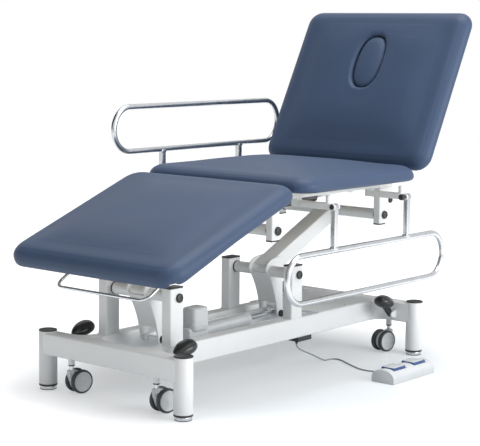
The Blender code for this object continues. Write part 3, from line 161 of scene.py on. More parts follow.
dark, tree = new_finish("dark_card")
shader = add_node(tree, "ShaderNodeBsdfPrincipled", {"Base Color": linear("#2A2D31"), "Roughness": 1.0,
                                                     "Specular IOR Level": 0.0})
add_node(tree, "ShaderNodeOutputMaterial", {"Surface": shader.outputs[0]})
for name, corners in (("card_foot", [(-6, -2.2, 0.1), (-6, 0.8, 0.1), (-6, 0.8, 3.2), (-6, -2.2, 3.2)]),
                      ("card_near", [(0.9, -6, 0.1), (3.4, -6, 0.1), (3.4, -6, 2.6), (0.9, -6, 2.6)]),
                      ("card_far", [(-4.8, 0.4, 0.8), (-0.3, 4.8, 0.8), (0.1, 3.9, 5.6), (-3.9, 0.0, 5.6)]),
                      ("card_head", [(1.8, 4.4, 0.1), (4.6, 1.4, 0.1), (4.6, 1.4, 2.0), (1.8, 4.4, 2.0)])):
    card = flat_card(name, corners)
    card.data.materials.append(dark)
    card.visible_camera = False
    card.visible_diffuse = False
    card.visible_shadow = False

for name, at, aim, size, power in (("overhead_lamp", (0.4, -0.3, 5.0), (0.1, 0.0, 0.4), (3.2, 2.8), 145.0),
                                   ("near_lamp", (0.5, -4.0, 1.9), (0.0, 0.0, 0.4), (3.2, 2.2), 138.0),
                                   ("foot_lamp", (-4.2, 0.6, 1.6), (-0.2, 0.0, 0.4), (1.8, 1.8), 20.0)):
    lamp = bpy.data.lights.new(name, "AREA")
    lamp.shape = "RECTANGLE"
    lamp.size, lamp.size_y = size
    lamp.energy = power
    holder = bpy.data.objects.new(name, lamp)
    scene.collection.objects.link(holder)
    holder.location = at
    holder.rotation_euler = (Vector(aim) - Vector(at)).to_track_quat("-Z", "Y").to_euler()

# Foot-switch cord. Thin wires in a grey PVC sheath, 5 mm thick. It hangs from a gland under the near beam,
# lies slack on the floor and runs into the far side of the foot switch.
CORD_WIDTH = 0.005
route = np.array([
    (0.1356, -0.128, 0.0876), (0.1356, -0.128, 0.0836), (0.1416, -0.128, 0.0746), (0.1576, -0.128, 0.064),
    (0.184, -0.128, 0.052), (0.227, -0.128, 0.034), (0.267, -0.127, 0.0155), (0.296, -0.126, 0.0045),
    (0.317, -0.125, 0.0027), (0.334, -0.129, 0.0027), (0.344, -0.145, 0.0027), (0.338, -0.168, 0.0027),
    (0.325, -0.191, 0.0027), (0.297, -0.241, 0.0027), (0.274, -0.291, 0.0027), (0.272, -0.333, 0.0027),
    (0.284, -0.366, 0.004), (0.292, -0.392, 0.011), (0.292, -0.406, 0.012), (0.292, -0.4114, 0.012)]) + MIDDLE


def smooth_route(points, steps):
    """A curve through all points: cubics whose slope at each is half the step between its neighbours."""
    p = np.concatenate([points[:1], points, points[-1:]])
    t = np.linspace(0.0, 1.0, steps, endpoint=False)[None, :, None]
    p0, p1, p2, p3 = p[:-3, None], p[1:-2, None], p[2:-1, None], p[3:, None]
    curve = 0.5 * (2 * p1 + (p2 - p0) * t + (2 * p0 - 5 * p1 + 4 * p2 - p3) * t ** 2
                   + (3 * p1 - p0 - 3 * p2 + p3) * t ** 3)
    return np.concatenate([curve.reshape(-1, 3), points[-1:]])


line = smooth_route(route, 6)
sheath = bpy.data.curves.new("foot_switch_cord_sheath", "CURVE")
sheath.dimensions = "3D"
sheath.bevel_depth = CORD_WIDTH / 2
sheath.bevel_resolution = 4
sheath.use_fill_caps = True
spline = sheath.splines.new("POLY")
spline.points.add(len(line) - 1)
spline.points.foreach_set("co", np.column_stack([line, np.ones(len(line))]).ravel())
cord = bpy.data.objects.new("foot_switch_cord_sheath", sheath)
scene.collection.objects.link(cord)


def mottled(name, tones, drift, rough, ior=None, raised=0.0, skin=None, deep=0.0002, stretch=None, twist=0.0):
    """A finish whose tone drifts between two colours with a noise, given as waves per metre and detail.

    rough is one value, or a range that follows the drift. raised is the strength of the relief and deep its
    depth; it follows the drift, or a finer noise, skin. A finish with no IOR is a metal. stretch scales the
    drift along X, Y and Z, and twist bends it.
    """
    finish, tree = new_finish(name)
    place = add_node(tree, "ShaderNodeTexCoord").outputs["Object"]
    if stretch:
        place = add_node(tree, "ShaderNodeMapping", {"Vector": place, "Scale": stretch}).outputs[0]
    noise = add_node(tree, "ShaderNodeTexNoise", {"Vector": place, "Scale": drift[0], "Detail": drift[1],
                                                  "Distortion": twist})
    tone = add_node(tree, "ShaderNodeMix", {"Factor": noise.outputs["Fac"], "A": linear(tones[0]),
                                            "B": linear(tones[1])}, data_type="RGBA")
    inputs = {"Base Color": tone.outputs["Result"], "Roughness": rough}
    if isinstance(rough, tuple):
        inputs["Roughness"] = add_node(tree, "ShaderNodeMapRange", {
            "Value": noise.outputs["Fac"], "To Min": rough[0], "To Max": rough[1]}).outputs[0]
    if ior is None:
        inputs["Metallic"] = 1.0
    else:
        inputs["IOR"] = ior
    if skin:
        noise = add_node(tree, "ShaderNodeTexNoise", {"Vector": place, "Scale": skin[0], "Detail": skin[1]})
    if raised:
        inputs["Normal"] = add_node(tree, "ShaderNodeBump", {
            "Height": noise.outputs["Fac"], "Strength": raised, "Distance": deep}).outputs[0]
    shader = add_node(tree, "ShaderNodeBsdfPrincipled", inputs)
    add_node(tree, "ShaderNodeOutputMaterial", {"Surface": shader.outputs[0]})
    return finish


# Soft PVC: extruded, so it is even and slightly glossy, with a faint drag along its skin every 5 mm or so.
sheath.materials.append(mottled("grey_pvc_sheath", ("#85898D", "#9A9EA2"), (180.0, 2.0), 0.45, 1.53, 0.15))
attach(cord, "base")
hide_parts("foot_switch_cord")


# Junction box and gland. A black nylon box screwed under the near side beam, with a ribbed strain relief that
# grips the cord. Both are moulded, so their edges are rounded and their skin has a fine sparked texture.
def box_section(width, height, corner, steps=5):
    """Rounded rectangle: a quarter circle of radius corner at each corner's own centre, anticlockwise."""
    angle = (np.linspace(0.0, np.pi / 2, steps + 1) + np.pi / 2 * np.arange(4)[:, None]).ravel()
    u = (width / 2 - corner) * np.repeat([1, -1, -1, 1], steps + 1) + corner * np.cos(angle)
    v = (height / 2 - corner) * np.repeat([1, 1, -1, -1], steps + 1) + corner * np.sin(angle)
    return np.stack([u, v], -1)


def prism(section, low, high, plane, at=(0.0, 0.0, 0.0), soften=0.001):
    """A section in one plane, such as XZ, carried along the third axis from low to high.

    Within soften of each end it draws in along its own normals by a quarter circle, which rounds the edge.
    """
    iu, iv = "XYZ".index(plane[0]), "XYZ".index(plane[1])
    turn = np.linspace(0.0, np.pi / 2, 4)
    reach = soften * (1 - np.cos(turn))
    draw = np.concatenate([soften * (1 - np.sin(turn)), soften * (1 - np.sin(turn))[::-1]])
    ahead = np.roll(section, -1, 0) - np.roll(section, 1, 0)
    outward = np.stack([ahead[:, 1], -ahead[:, 0]], -1)
    outward = outward / np.linalg.norm(outward, axis=1, keepdims=True)
    rings = np.empty((8, len(section), 3))
    rings[..., [iu, iv]] = section - draw[:, None, None] * outward
    rings[..., 3 - iu - iv] = np.concatenate([low + reach, high - reach[::-1]])[:, None]
    return rings + np.asarray(at)


CORE = 0.0002


def turned(profile, at, axis="Z", sides=40):
    """A lathe piece: (radius, height) pairs carried round an axis through at. Solid ends close at CORE."""
    profile = np.asarray(profile, float)
    angle = np.linspace(0.0, 2 * np.pi, sides, endpoint=False)
    i = "XYZ".index(axis)
    rings = np.empty((len(profile), sides, 3))
    rings[..., (i + 1) % 3] = profile[:, :1] * np.cos(angle)
    rings[..., (i + 2) % 3] = profile[:, :1] * np.sin(angle)
    rings[..., i] = profile[:, 1:]
    return rings + np.asarray(at)


def mesh_of(name, shells, loops=()):
    """A mesh of closed shells: quads join ring to ring and a face closes each end. A loop joins up."""
    corners, faces, start = [], [], 0
    for rings, closed in [(shell, False) for shell in shells] + [(loop, True) for loop in loops]:
        count, around = rings.shape[:2]
        index = start + np.arange(count * around).reshape(count, around)
        beside = np.roll(index, -1, 1)
        quads = np.stack([index, beside, np.roll(beside, -1, 0), np.roll(index, -1, 0)], -1)
        faces += quads[:count if closed else count - 1].reshape(-1, 4).tolist()
        if not closed:
            faces += [index[0, ::-1].tolist(), index[-1].tolist()]
        corners.append(rings.reshape(-1, 3))
        start += count * around
    mesh = bpy.data.meshes.new(name)
    mesh.from_pydata(np.concatenate(corners) + MIDDLE, [], faces)
    skin = bmesh.new()
    skin.from_mesh(mesh)
    bmesh.ops.recalc_face_normals(skin, faces=skin.faces)
    skin.to_mesh(mesh)
    skin.free()
    return mesh


def fit(name, shape, finish, body, nodes=(), sharp=38.0, loops=()):
    """Makes a piece of shells and loops, or of a mesh, finishes it and hangs it in place of CAD nodes."""
    mesh = shape if isinstance(shape, bpy.types.Mesh) else mesh_of(name, shape, loops)
    mesh.shade_smooth()
    mesh.set_sharp_from_angle(angle=math.radians(sharp))
    mesh.materials.append(finish)
    piece = bpy.data.objects.new(name, mesh)
    scene.collection.objects.link(piece)
    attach(piece, body)
    if nodes:
        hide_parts(*nodes)
    return piece


# Black nylon: moulded in a sparked tool, dull and even. Its 0.4 mm texture is drawn at 2 mm so that it shows.
nylon = mottled("black_nylon", ("#141517", "#222427"), (28.0, 2.0), (0.34, 0.5), 1.52, 0.25, (500.0, 3.0))

JUNCTION, CORD_EXIT = (0.153, -0.128, 0.0), (0.1356, -0.128, 0.0)
box_shell = prism(box_section(0.074, 0.044, 0.004), 0.0982, 0.1142, "XY", JUNCTION, 0.0018)
lid_line = prism(box_section(0.0748, 0.0448, 0.0044), 0.1030, 0.1042, "XY", JUNCTION, 0.0005)
fit("junction_box_case", [box_shell, lid_line], nylon, "base", ["junction_box"])
ribs = [(CORE, 0.0979), (0.0055, 0.0979), (0.0055, 0.0948)]
for z in (0.0940, 0.0922, 0.0904):
    ribs += [(0.0038, z), (0.0038, z - 0.0004), (0.0048, z - 0.0006), (0.0048, z - 0.0014)]
ribs += [(0.0030, 0.0882), (0.0027, 0.0876), (CORE, 0.0876)]
gland = fit("cord_gland_relief", [turned(ribs, CORD_EXIT)], nylon, "base", ["cord_gland"])

# Base frame. Two rectangular steel tubes along the couch and two across it, welded with curved webs in the
# corners to round posts. Four columns stand on the long tubes. The whole frame is powder coated white.
POST_X, POST_Y, CASTER_Y = 0.602, 0.286, 0.180
BEAM_LOW, BEAM_HIGH, BEAM_Y, BEAM_WIDE, CROSS_WIDE = 0.114, 0.182, 0.129, 0.050, 0.056
CORNERS = [(-1, -1), (-1, 1), (1, -1), (1, 1)]
beam_z = (BEAM_LOW + BEAM_HIGH) / 2
shells = []
for side in (-1, 1):
    shells.append(prism(box_section(BEAM_WIDE, 0.067, 0.005), -0.578, 0.578, "YZ",
                        (0.0, side * BEAM_Y, beam_z)))
    shells.append(prism(box_section(CROSS_WIDE, 0.068, 0.006), -POST_Y, POST_Y, "XZ",
                        (side * POST_X, 0.0, beam_z)))
for sx, sy in CORNERS:
    shells.append(turned([(0.0270, 0.0178), (0.0283, 0.0180), (0.0290, 0.0188), (0.0290, 0.1848),
                          (0.0284, 0.1856), (0.0270, 0.1858)], (sx * POST_X, sy * POST_Y, 0.0), sides=64))

# A web fills the corner between two beams: two straight edges on the beams and a quarter circle facing out
turn = np.linspace(np.pi, 1.5 * np.pi, 12)
hollow = np.stack([0.0465 + 0.045 * np.cos(turn), 0.0465 + 0.045 * np.sin(turn)], -1)
web = np.concatenate([[(-0.003, 0.0465), (-0.003, -0.003), (0.0465, -0.003)], hollow[::-1]])
for sx, sy in CORNERS:
    for way in (1, -1):
        corner = np.array([sx * (POST_X - CROSS_WIDE / 2), sy * (BEAM_Y + way * BEAM_WIDE / 2)])
        outline = corner + web * np.array([-sx, sy * way])
        if sx * way * sy > 0:
            outline = outline[::-1]
        shells.append(prism(outline, BEAM_LOW + 0.0012, BEAM_HIGH - 0.0012, "XY", soften=0.0004))

# Columns, and the weld bead round each one's foot
LOWER_PIVOTS = (-0.477, 0.109)
COLUMN_TOP, COLUMN_Y, PIVOT_OFFSET = 0.355, 0.1345, 0.007
loops = []


def round_section(radius, sides):
    """Points of a circle, anticlockwise."""
    angle = np.linspace(0.0, 2 * np.pi, sides, endpoint=False)
    return radius * np.stack([np.cos(angle), np.sin(angle)], -1)


def swept(path, section, across, closed=False):
    """A section carried along a flat path: u lies in its plane, square to the run, and v along across."""
    ahead = np.roll(path, -1, 0) - np.roll(path, 1, 0)
    if not closed:
        ahead[0], ahead[-1] = path[1] - path[0], path[-1] - path[-2]
    across = np.asarray(across, float)
    side = np.cross(ahead, across)
    side = side / np.linalg.norm(side, axis=1, keepdims=True)
    return path[:, None] + section[:, :1] * side[:, None] + section[:, 1:] * across


for pivot in LOWER_PIVOTS:
    for side in (-1, 1):
        foot = (pivot - PIVOT_OFFSET, side * COLUMN_Y, 0.0)
        shells.append(prism(box_section(0.058, 0.038, 0.005), 0.180, COLUMN_TOP, "XY", foot, 0.0006))
        bead = np.insert(box_section(0.0585, 0.0385, 0.005, 6), 2, 0.1812, axis=1) + foot
        loops.append(swept(bead, round_section(0.0024, 10), (0.0, 0.0, 1.0), closed=True))


# Actuator mount on the near side beam, caster guides under the cross beams and lugs for the pedals
def wrapped(discs, count=72):
    """Outline of a band round discs (u, v, radius): each way, the edge of the disc that reaches farthest."""
    angle = np.linspace(0.0, 2 * np.pi, count, endpoint=False)
    way = np.stack([np.cos(angle), np.sin(angle)], -1)
    discs = np.asarray(discs, float)
    chosen = discs[np.argmax(way @ discs[:, :2].T + discs[:, 2], axis=1)]
    return chosen[:, :2] + chosen[:, 2:] * way


MOTOR_X, MOTOR_Z = -0.360, 0.165
PEDAL_PIN_X, PEDAL_PIN_Z, PEDAL_Y, LUG_THICK = 0.556, 0.140, 0.216, 0.006
shells.append(prism(box_section(0.028, 0.016, 0.002), -0.106, 0.0056, "XZ", (MOTOR_X, 0.0, 0.141)))
ear = wrapped([(MOTOR_X, MOTOR_Z, 0.0135), (MOTOR_X - 0.0115, 0.149, 0.002),
               (MOTOR_X + 0.0115, 0.149, 0.002)])
for low in (-0.0256, -0.0004):
    shells.append(prism(ear, low, low + LUG_THICK, "XZ", soften=0.0006))
shells.append(turned([(CORE, -0.029), (0.0060, -0.029), (0.0060, 0.009), (CORE, 0.009)],
                     (MOTOR_X, 0.0, MOTOR_Z), "Y", 20))
for sx, sy in CORNERS:
    shells.append(turned([(0.0076, 0.0925), (0.0100, 0.0925), (0.0100, 0.1125), (0.0125, 0.1145),
                          (0.0076, 0.1150)], (sx * POST_X, sy * CASTER_Y, 0.0), sides=32))
    ear = wrapped([(sx * PEDAL_PIN_X, PEDAL_PIN_Z, 0.010), (sx * 0.5755, 0.128, 0.002),
                   (sx * 0.5755, 0.152, 0.002)])
    for low in (-0.0126, 0.0066):
        shells.append(prism(ear, sy * PEDAL_Y + low, sy * PEDAL_Y + low + LUG_THICK, "XZ", soften=0.0006))
    shells.append(turned([(CORE, -0.0136), (0.0050, -0.0136), (0.0050, 0.0136), (CORE, 0.0136)],
                         (sx * PEDAL_PIN_X, sy * PEDAL_Y, PEDAL_PIN_Z), "Y", 16))

# Powder coat: dry polyester baked to a satin skin. It keeps a faint orange peel, whose 1.5 mm waves are drawn
# at 5 mm so that they show, and a soft unevenness of tone, and it turns greyer in soft patches towards the
# bottom.
coat, tree = new_finish("white_powder_coat")
place = add_node(tree, "ShaderNodeTexCoord")
peel = add_node(tree, "ShaderNodeTexNoise",
                {"Vector": place.outputs["Object"], "Scale": 210.0, "Detail": 2.0})
cloud = add_node(tree, "ShaderNodeTexNoise", {"Vector": place.outputs["Object"], "Scale": 7.0, "Detail": 3.0})
height = add_node(tree, "ShaderNodeSeparateXYZ", {"Vector": place.outputs["Object"]})
# Greyer towards the bottom: from 100 mm down to the floor, in soft patches, by up to 35 %.
low = add_node(tree, "ShaderNodeMapRange", {"Value": height.outputs["Z"], "From Min": 0.015, "From Max": 0.10,
                                            "To Min": 0.35, "To Max": 0.0})
low_darkening = add_node(tree, "ShaderNodeMath", {0: low.outputs[0], 1: cloud.outputs["Fac"]}, operation="MULTIPLY")
tone = add_node(tree, "ShaderNodeMix", {"Factor": cloud.outputs["Fac"], "A": linear("#E3E6E7"),
                                        "B": linear("#EDEFF0")}, data_type="RGBA")
darkened_low_tone = add_node(tree, "ShaderNodeMix", {"Factor": low_darkening.outputs[0], "A": tone.outputs["Result"],
                                         "B": linear("#C3C4C2")}, data_type="RGBA")
rough = add_node(tree, "ShaderNodeMapRange", {"Value": cloud.outputs["Fac"], "To Min": 0.30, "To Max": 0.42})
bump = add_node(tree, "ShaderNodeBump", {"Height": peel.outputs["Fac"], "Strength": 0.12, "Distance": 0.0004})
shader = add_node(tree, "ShaderNodeBsdfPrincipled",
                  {"Base Color": darkened_low_tone.outputs["Result"], "IOR": 1.5, "Roughness": rough.outputs[0],
                   "Normal": bump.outputs[0]})
add_node(tree, "ShaderNodeOutputMaterial", {"Surface": shader.outputs[0]})
fit("base_frame_weldment", shells, coat, "base", ["base_frame"], loops=loops)

# Caps and feet. Each post has a black disc pressed into its top, a black ring round its bottom end and a
# bright steel levelling foot. Each column is closed by a black plastic cap, and each caster guide by a black
# seal.
caps, rings_low, seals, feet, pads_low = [], [], [], [], []
for sx, sy in CORNERS:
    post = (sx * POST_X, sy * POST_Y, 0.0)
    caps.append(turned([(CORE, 0.1860), (0.0280, 0.1860), (0.0290, 0.1868), (0.0290, 0.1886),
                        (0.0285, 0.1896), (0.0272, 0.1900), (0.0226, 0.1900), (0.0218, 0.1893),
                        (CORE, 0.1893)], post, sides=64))
    rings_low.append(turned([(CORE, 0.0116), (0.0270, 0.0116), (0.0290, 0.0124), (0.0293, 0.0146),
                             (0.0290, 0.0170), (0.0282, 0.0176), (CORE, 0.0176)], post, sides=64))
    feet.append(turned([(CORE, 0.0022), (0.0260, 0.0022), (0.0265, 0.0030), (0.0265, 0.0100),
                        (0.0258, 0.0114), (CORE, 0.0114)], post, sides=64))
    pads_low.append(turned([(CORE, 0.0), (0.0262, 0.0), (0.0264, 0.0006), (0.0260, 0.0024), (CORE, 0.0024)],
                           post, sides=64))
    seals.append(turned([(0.0074, 0.0885), (0.0098, 0.0885), (0.0104, 0.0892), (0.0104, 0.0918),
                         (0.0098, 0.0926), (0.0074, 0.0926)], (sx * POST_X, sy * CASTER_Y, 0.0), sides=32))
for pivot in LOWER_PIVOTS:
    for side in (-1, 1):
        caps.append(prism(box_section(0.0595, 0.0395, 0.0055), COLUMN_TOP + 0.0002, COLUMN_TOP + 0.0048, "XY",
                          (pivot - PIVOT_OFFSET, side * COLUMN_Y, 0.0), 0.0018))
tags = ["%s_%s" % (end, side) for end in ("foot", "head") for side in ("near", "far")]
fit("post_and_column_caps", caps, nylon, "base", ["post_cap_" + tag for tag in tags])
fit("post_rings", rings_low + pads_low + seals, nylon, "base")

# Zinc-plated steel: bright, slightly blue, with the fine lines left by turning, about 1 mm apart in height.
zinc = mottled("zinc_plated_steel", ("#A9AEB3", "#CDD1D5"), (1.0, 3.0), (0.18, 0.34),
               stretch=(30.0, 30.0, 900.0))
fit("levelling_feet", feet, zinc, "base", ["levelling_foot_" + tag for tag in tags])

# Cover plate. A sheet of 2 mm steel, powder coated white like the frame, that closes the head end of the
# base. It lies on the beams and is held by six pan-head screws.
plate = prism(box_section(0.345, 0.308, 0.006), 0.1818, 0.1838, "XY", (0.3975, 0.0, 0.0), 0.0007)
fit("cover_plate_sheet", [plate], coat, "base", ["base_cover_plate"])
screws = [turned([(CORE, 0.1836), (0.0042, 0.1836), (0.0042, 0.1842), (0.0036, 0.1852), (0.0022, 0.1858),
                  (0.0014, 0.1858), (0.0013, 0.1846), (CORE, 0.1846)], (x, y, 0.0), sides=20)
          for x in (0.242, 0.398, 0.553) for y in (-0.138, 0.138)]
fit("cover_plate_screws", screws, zinc, "base")

# Casters. Each has a zinc stem that slides in the guide, a pale moulded housing and two wheels with thin dark
# tyres and flat pale discs. All four trail a little askew.

# ABS is moulded satin with a fine sparked skin, drawn at 2 mm so that it shows; rubber is dull, with scuffs
# of 8 mm.
pale = mottled("pale_grey_abs", ("#C6CACD", "#D6D9DB"), (24.0, 2.0), 0.4, 1.53, 0.12, (420.0, 2.0))
rubber = mottled("dark_tyre_rubber", ("#2A2C30", "#404347"), (130.0, 4.0), 0.62, 1.52, 0.2, deep=0.0003)


def yawed(rings, degrees, x, y):
    """Turned about the upright axis, then moved to a place on the floor plan."""
    c, s = math.cos(math.radians(degrees)), math.sin(math.radians(degrees))
    return rings @ np.array([(c, s, 0.0), (-s, c, 0.0), (0.0, 0.0, 1.0)]) + np.array([x, y, 0.0])


def both_ways(profile, at, axis, sides):
    """A lathe piece and its mirror image along the axis."""
    return [turned(np.array(profile) * np.array([1.0, way]), at, axis, sides) for way in (-1.0, 1.0)]


ORIGIN = (0.0, 0.0, 0.0)
AXLE = (0.027, 0.0, 0.038)
tyre = [(0.0262, 0.0095), (0.0345, 0.0093), (0.0362, 0.0102), (0.0372, 0.0125), (0.0375, 0.0160),
        (0.0373, 0.0195), (0.0366, 0.0225), (0.0354, 0.0243), (0.0338, 0.0249), (0.0326, 0.0247),
        (0.0317, 0.0240), (0.0312, 0.0228)]
disc = [(0.0310, 0.0200), (0.0311, 0.0238), (0.0304, 0.0246), (0.0292, 0.0247), (0.0284, 0.0241),
        (0.0278, 0.0238), (0.0090, 0.0240), (0.0070, 0.0243), (0.0060, 0.0248), (0.0048, 0.0250),
        (CORE, 0.0250)]
side_plate = wrapped([(0.027, 0.038, 0.030), (-0.0105, 0.0730, 0.0025), (0.0105, 0.0730, 0.0025),
                      (-0.0105, 0.0600, 0.0025)], 96)
for (sx, sy), tag in zip(CORNERS, tags):
    spot = (-10.0 if sx < 0 else 170.0, sx * POST_X, sy * CASTER_Y)
    stem = turned([(CORE, 0.0758), (0.0070, 0.0758), (0.0070, 0.0995), (0.0062, 0.1004), (CORE, 0.1004)],
                  ORIGIN, sides=28)
    fit("caster_stem_" + tag, [yawed(stem, *spot)], zinc, "stem_" + tag, ["caster_%s_stem" % tag])
    hood = prism(side_plate, -0.0085, 0.0085, "XZ", soften=0.0025)
    collar = turned([(CORE, 0.0640), (0.0118, 0.0640), (0.0110, 0.0735), (0.0096, 0.0752), (CORE, 0.0754)],
                    ORIGIN, sides=32)
    fit("caster_housing_" + tag, [yawed(hood, *spot), yawed(collar, *spot)], pale, "housing_" + tag,
        ["caster_%s_housing" % tag])
    fit("caster_tyres_" + tag, [yawed(rings, *spot) for rings in both_ways(tyre, AXLE, "Y", 56)], rubber,
        "wheels_" + tag, ["caster_%s_wheels" % tag])
    fit("caster_discs_" + tag, [yawed(rings, *spot) for rings in both_ways(disc, AXLE, "Y", 56)], pale,
        "wheels_" + tag)

# Pedals. Each is a glossy black moulding like a drop: pointed over the cross beam and broad inboard, where a
# foot presses it. A short black arm carries it on a pin between the beam's lugs.

# Nylon from a polished tool: it shines, and shoes have dulled it in patches of 15 mm.
gloss = mottled("glossy_black_nylon", ("#121315", "#26282B"), (60.0, 4.0), (0.22, 0.40), 1.53)


def pedal_drop(length, width, height, rings=36, around=48):
    """A drop along +X: its girth grows as the 0.6 power of the way from the tip and closes as the 0.45 power.

    Each girth is an ellipse, flatter below, with a shallow groove between the tread on top and the sides.
    """
    t = np.linspace(0.002, 0.998, rings)[:, None]
    girth = t ** 0.6 * (1 - t) ** 0.45
    girth = girth / girth.max()
    a = np.linspace(0.0, 2 * np.pi, around, endpoint=False)[None, :]
    groove = np.exp(-((np.abs(a - np.pi / 2) - 0.95) / 0.11) ** 2)
    size = girth * (1 - 0.055 * groove)
    lift = np.where(np.sin(a) > 0, 1.0, 0.78)
    return np.stack(np.broadcast_arrays((t - 0.5) * length, width / 2 * size * np.cos(a),
                                        height / 2 * size * np.sin(a) * lift), -1)


def swung(rings, degrees, x, z):
    """Swung up about the Y axis by degrees, then moved to a pivot at x, z."""
    c, s = math.cos(math.radians(degrees)), math.sin(math.radians(degrees))
    out = rings.copy()
    out[..., 0] = x + rings[..., 0] * c - rings[..., 2] * s
    out[..., 2] = z + rings[..., 0] * s + rings[..., 2] * c
    return out


PEDAL_TILT, PEDAL_X, PEDAL_Z = 15.0, 0.520, 0.1860
drop = swung(pedal_drop(0.088, 0.062, 0.050), PEDAL_TILT, 0.0, 0.0)
for (sx, sy), tag in zip(CORNERS, tags):
    head = drop * np.array([-sx, 1.0, 1.0]) + np.array([sx * PEDAL_X, sy * PEDAL_Y, PEDAL_Z])
    arm = wrapped([(sx * PEDAL_PIN_X, PEDAL_PIN_Z, 0.009), (sx * 0.531, 0.176, 0.006),
                   (sx * 0.513, 0.176, 0.006)])
    arm = prism(arm, sy * PEDAL_Y - 0.006, sy * PEDAL_Y + 0.006, "XZ", soften=0.0012)
    fit("pedal_moulding_" + tag, [head, arm], gloss, "pedal_" + tag, ["pedal_" + tag], 60.0)

# Lift arms. Each is a rectangular tube welded between a lower and an upper cross tube, with a flared lever
# that hangs from the lower one to the actuator and the tie bar. Black rings seat the tubes against their
# brackets.
ARM_RISE = 24.9
ARM_LENGTH = 0.411
PIVOT_Z = 0.326
rise, run = math.sin(math.radians(ARM_RISE)), math.cos(math.radians(ARM_RISE))


def curve_through(start, pull, end, count=14):
    """A quadratic curve from start to end that leans towards pull."""
    t = np.linspace(0.0, 1.0, count)[:, None]
    return (1 - t) ** 2 * np.asarray(start) + 2 * t * (1 - t) * np.asarray(pull) + t ** 2 * np.asarray(end)


# The lever's sides are two curves that flare from its pin up to the arm
LEVER_PIN = (0.0498, -0.1500)
bottom = np.linspace(np.pi + 0.25, 2 * np.pi - 0.15, 14)
toe = np.array(LEVER_PIN) + 0.016 * np.stack([np.cos(bottom), np.sin(bottom)], -1)
left = curve_through((-0.0300, 0.0040), (0.0200, -0.0560), toe[0])
right = curve_through(toe[-1], (0.0540, -0.0540), (0.0680, 0.0150))
crown = curve_through((0.0500, 0.0440), (-0.0300, 0.0440), (-0.0300, 0.0040), 10)
lever = np.concatenate([left[:-1], toe, right[1:], crown[:-1]])
WEB_THICK = np.array([0.0035, 0.0010])
web_outline = np.concatenate([left[1:11], (left[1:11] + WEB_THICK)[::-1]])
for arm_name, body, pivot in (("front", "front_arm", LOWER_PIVOTS[0]), ("rear", "rear_arm", LOWER_PIVOTS[1])):
    beam = prism(box_section(0.066, 0.052, 0.005), 0.004, ARM_LENGTH - 0.004, "YZ", soften=0.0012)
    shells = [swung(beam, ARM_RISE, pivot, PIVOT_Z)]
    bands = []
    for x, z, reach in ((pivot, PIVOT_Z, 0.1149),
                        (pivot + ARM_LENGTH * run, PIVOT_Z + ARM_LENGTH * rise, 0.2024)):
        shells.append(turned([(CORE, -reach), (0.0178, -reach), (0.0185, 0.0007 - reach),
                              (0.0185, reach - 0.0007), (0.0178, reach), (CORE, reach)],
                             (x, 0.0, z), "Y", 48))
        bands += both_ways([(0.0150, reach - 0.0045), (0.0192, reach - 0.0045), (0.0198, reach - 0.0038),
                            (0.0198, reach - 0.0005), (0.0192, reach), (0.0150, reach)], (x, 0.0, z), "Y", 48)
    for low in (-0.039, 0.033):
        shells.append(prism(lever, low, low + LUG_THICK, "XZ", (pivot, 0.0, PIVOT_Z), 0.001))
    shells.append(prism(web_outline, -0.034, 0.034, "XZ", (pivot, 0.0, PIVOT_Z), 0.0002))
    pin = (pivot + LEVER_PIN[0], 0.0, PIVOT_Z + LEVER_PIN[1])
    shells.append(turned([(CORE, -0.042), (0.0080, -0.042), (0.0080, 0.042), (CORE, 0.042)], pin, "Y", 24))
    fit(arm_name + "_arm_weldment", shells, coat, body, [arm_name + "_lift_arm"])
    bands += both_ways([(CORE, 0.0392), (0.0118, 0.0392), (0.0118, 0.0440), (0.0104, 0.0456), (CORE, 0.0458)],
                       pin, "Y", 24)
    fit(arm_name + "_arm_rings", bands, nylon, body)

# Pivot shafts. Black-oxide steel bars through the arm tubes, with a domed black cap on each end that has a
# shallow round pocket for the wrench.

# Black oxide is a thin salt-bath film that hides the metal's colour, with oily stains of 10 mm.
oxide = mottled("black_oxide_steel", ("#101113", "#212326"), (90.0, 3.0), (0.26, 0.46), 1.6)
UPPER_PIVOTS = [pivot + ARM_LENGTH * run for pivot in LOWER_PIVOTS]
UPPER_Z = PIVOT_Z + ARM_LENGTH * rise
for name, body, x, z, outer in (("front_lower", "base", LOWER_PIVOTS[0], PIVOT_Z, 0.1538),
                                ("rear_lower", "base", LOWER_PIVOTS[1], PIVOT_Z, 0.1538),
                                ("front_upper", "upper", UPPER_PIVOTS[0], UPPER_Z, 0.2313),
                                ("rear_upper", "upper", UPPER_PIVOTS[1], UPPER_Z, 0.2313)):
    half = np.array([(0.0100, 0.0), (0.0100, outer), (0.0134, outer), (0.0140, outer + 0.0008),
                     (0.0140, outer + 0.0045), (0.0132, outer + 0.0064), (0.0112, outer + 0.0076),
                     (0.0080, outer + 0.0080), (0.0070, outer + 0.0080), (0.0066, outer + 0.0066),
                     (CORE, outer + 0.0064)])
    profile = np.concatenate([(half * np.array([1.0, -1.0]))[:0:-1], half])
    fit(name + "_shaft", [turned(profile, (x, 0.0, z), "Y", 40)], oxide, body,
        [name + "_pivot_shaft"])

# Tie bar. A flat steel bar, powder coated white, with an eye at each end. It runs on the two levers' pins and
# makes the arms swing together.
pins = [(pivot + LEVER_PIN[0], PIVOT_Z + LEVER_PIN[1], 0.013) for pivot in LOWER_PIVOTS]
bar = prism(wrapped(pins, 64), 0.014, 0.026, "XZ", soften=0.0015)
fit("tie_bar_flat", [bar], coat, "tie_bar", ["lift_tie_bar"])

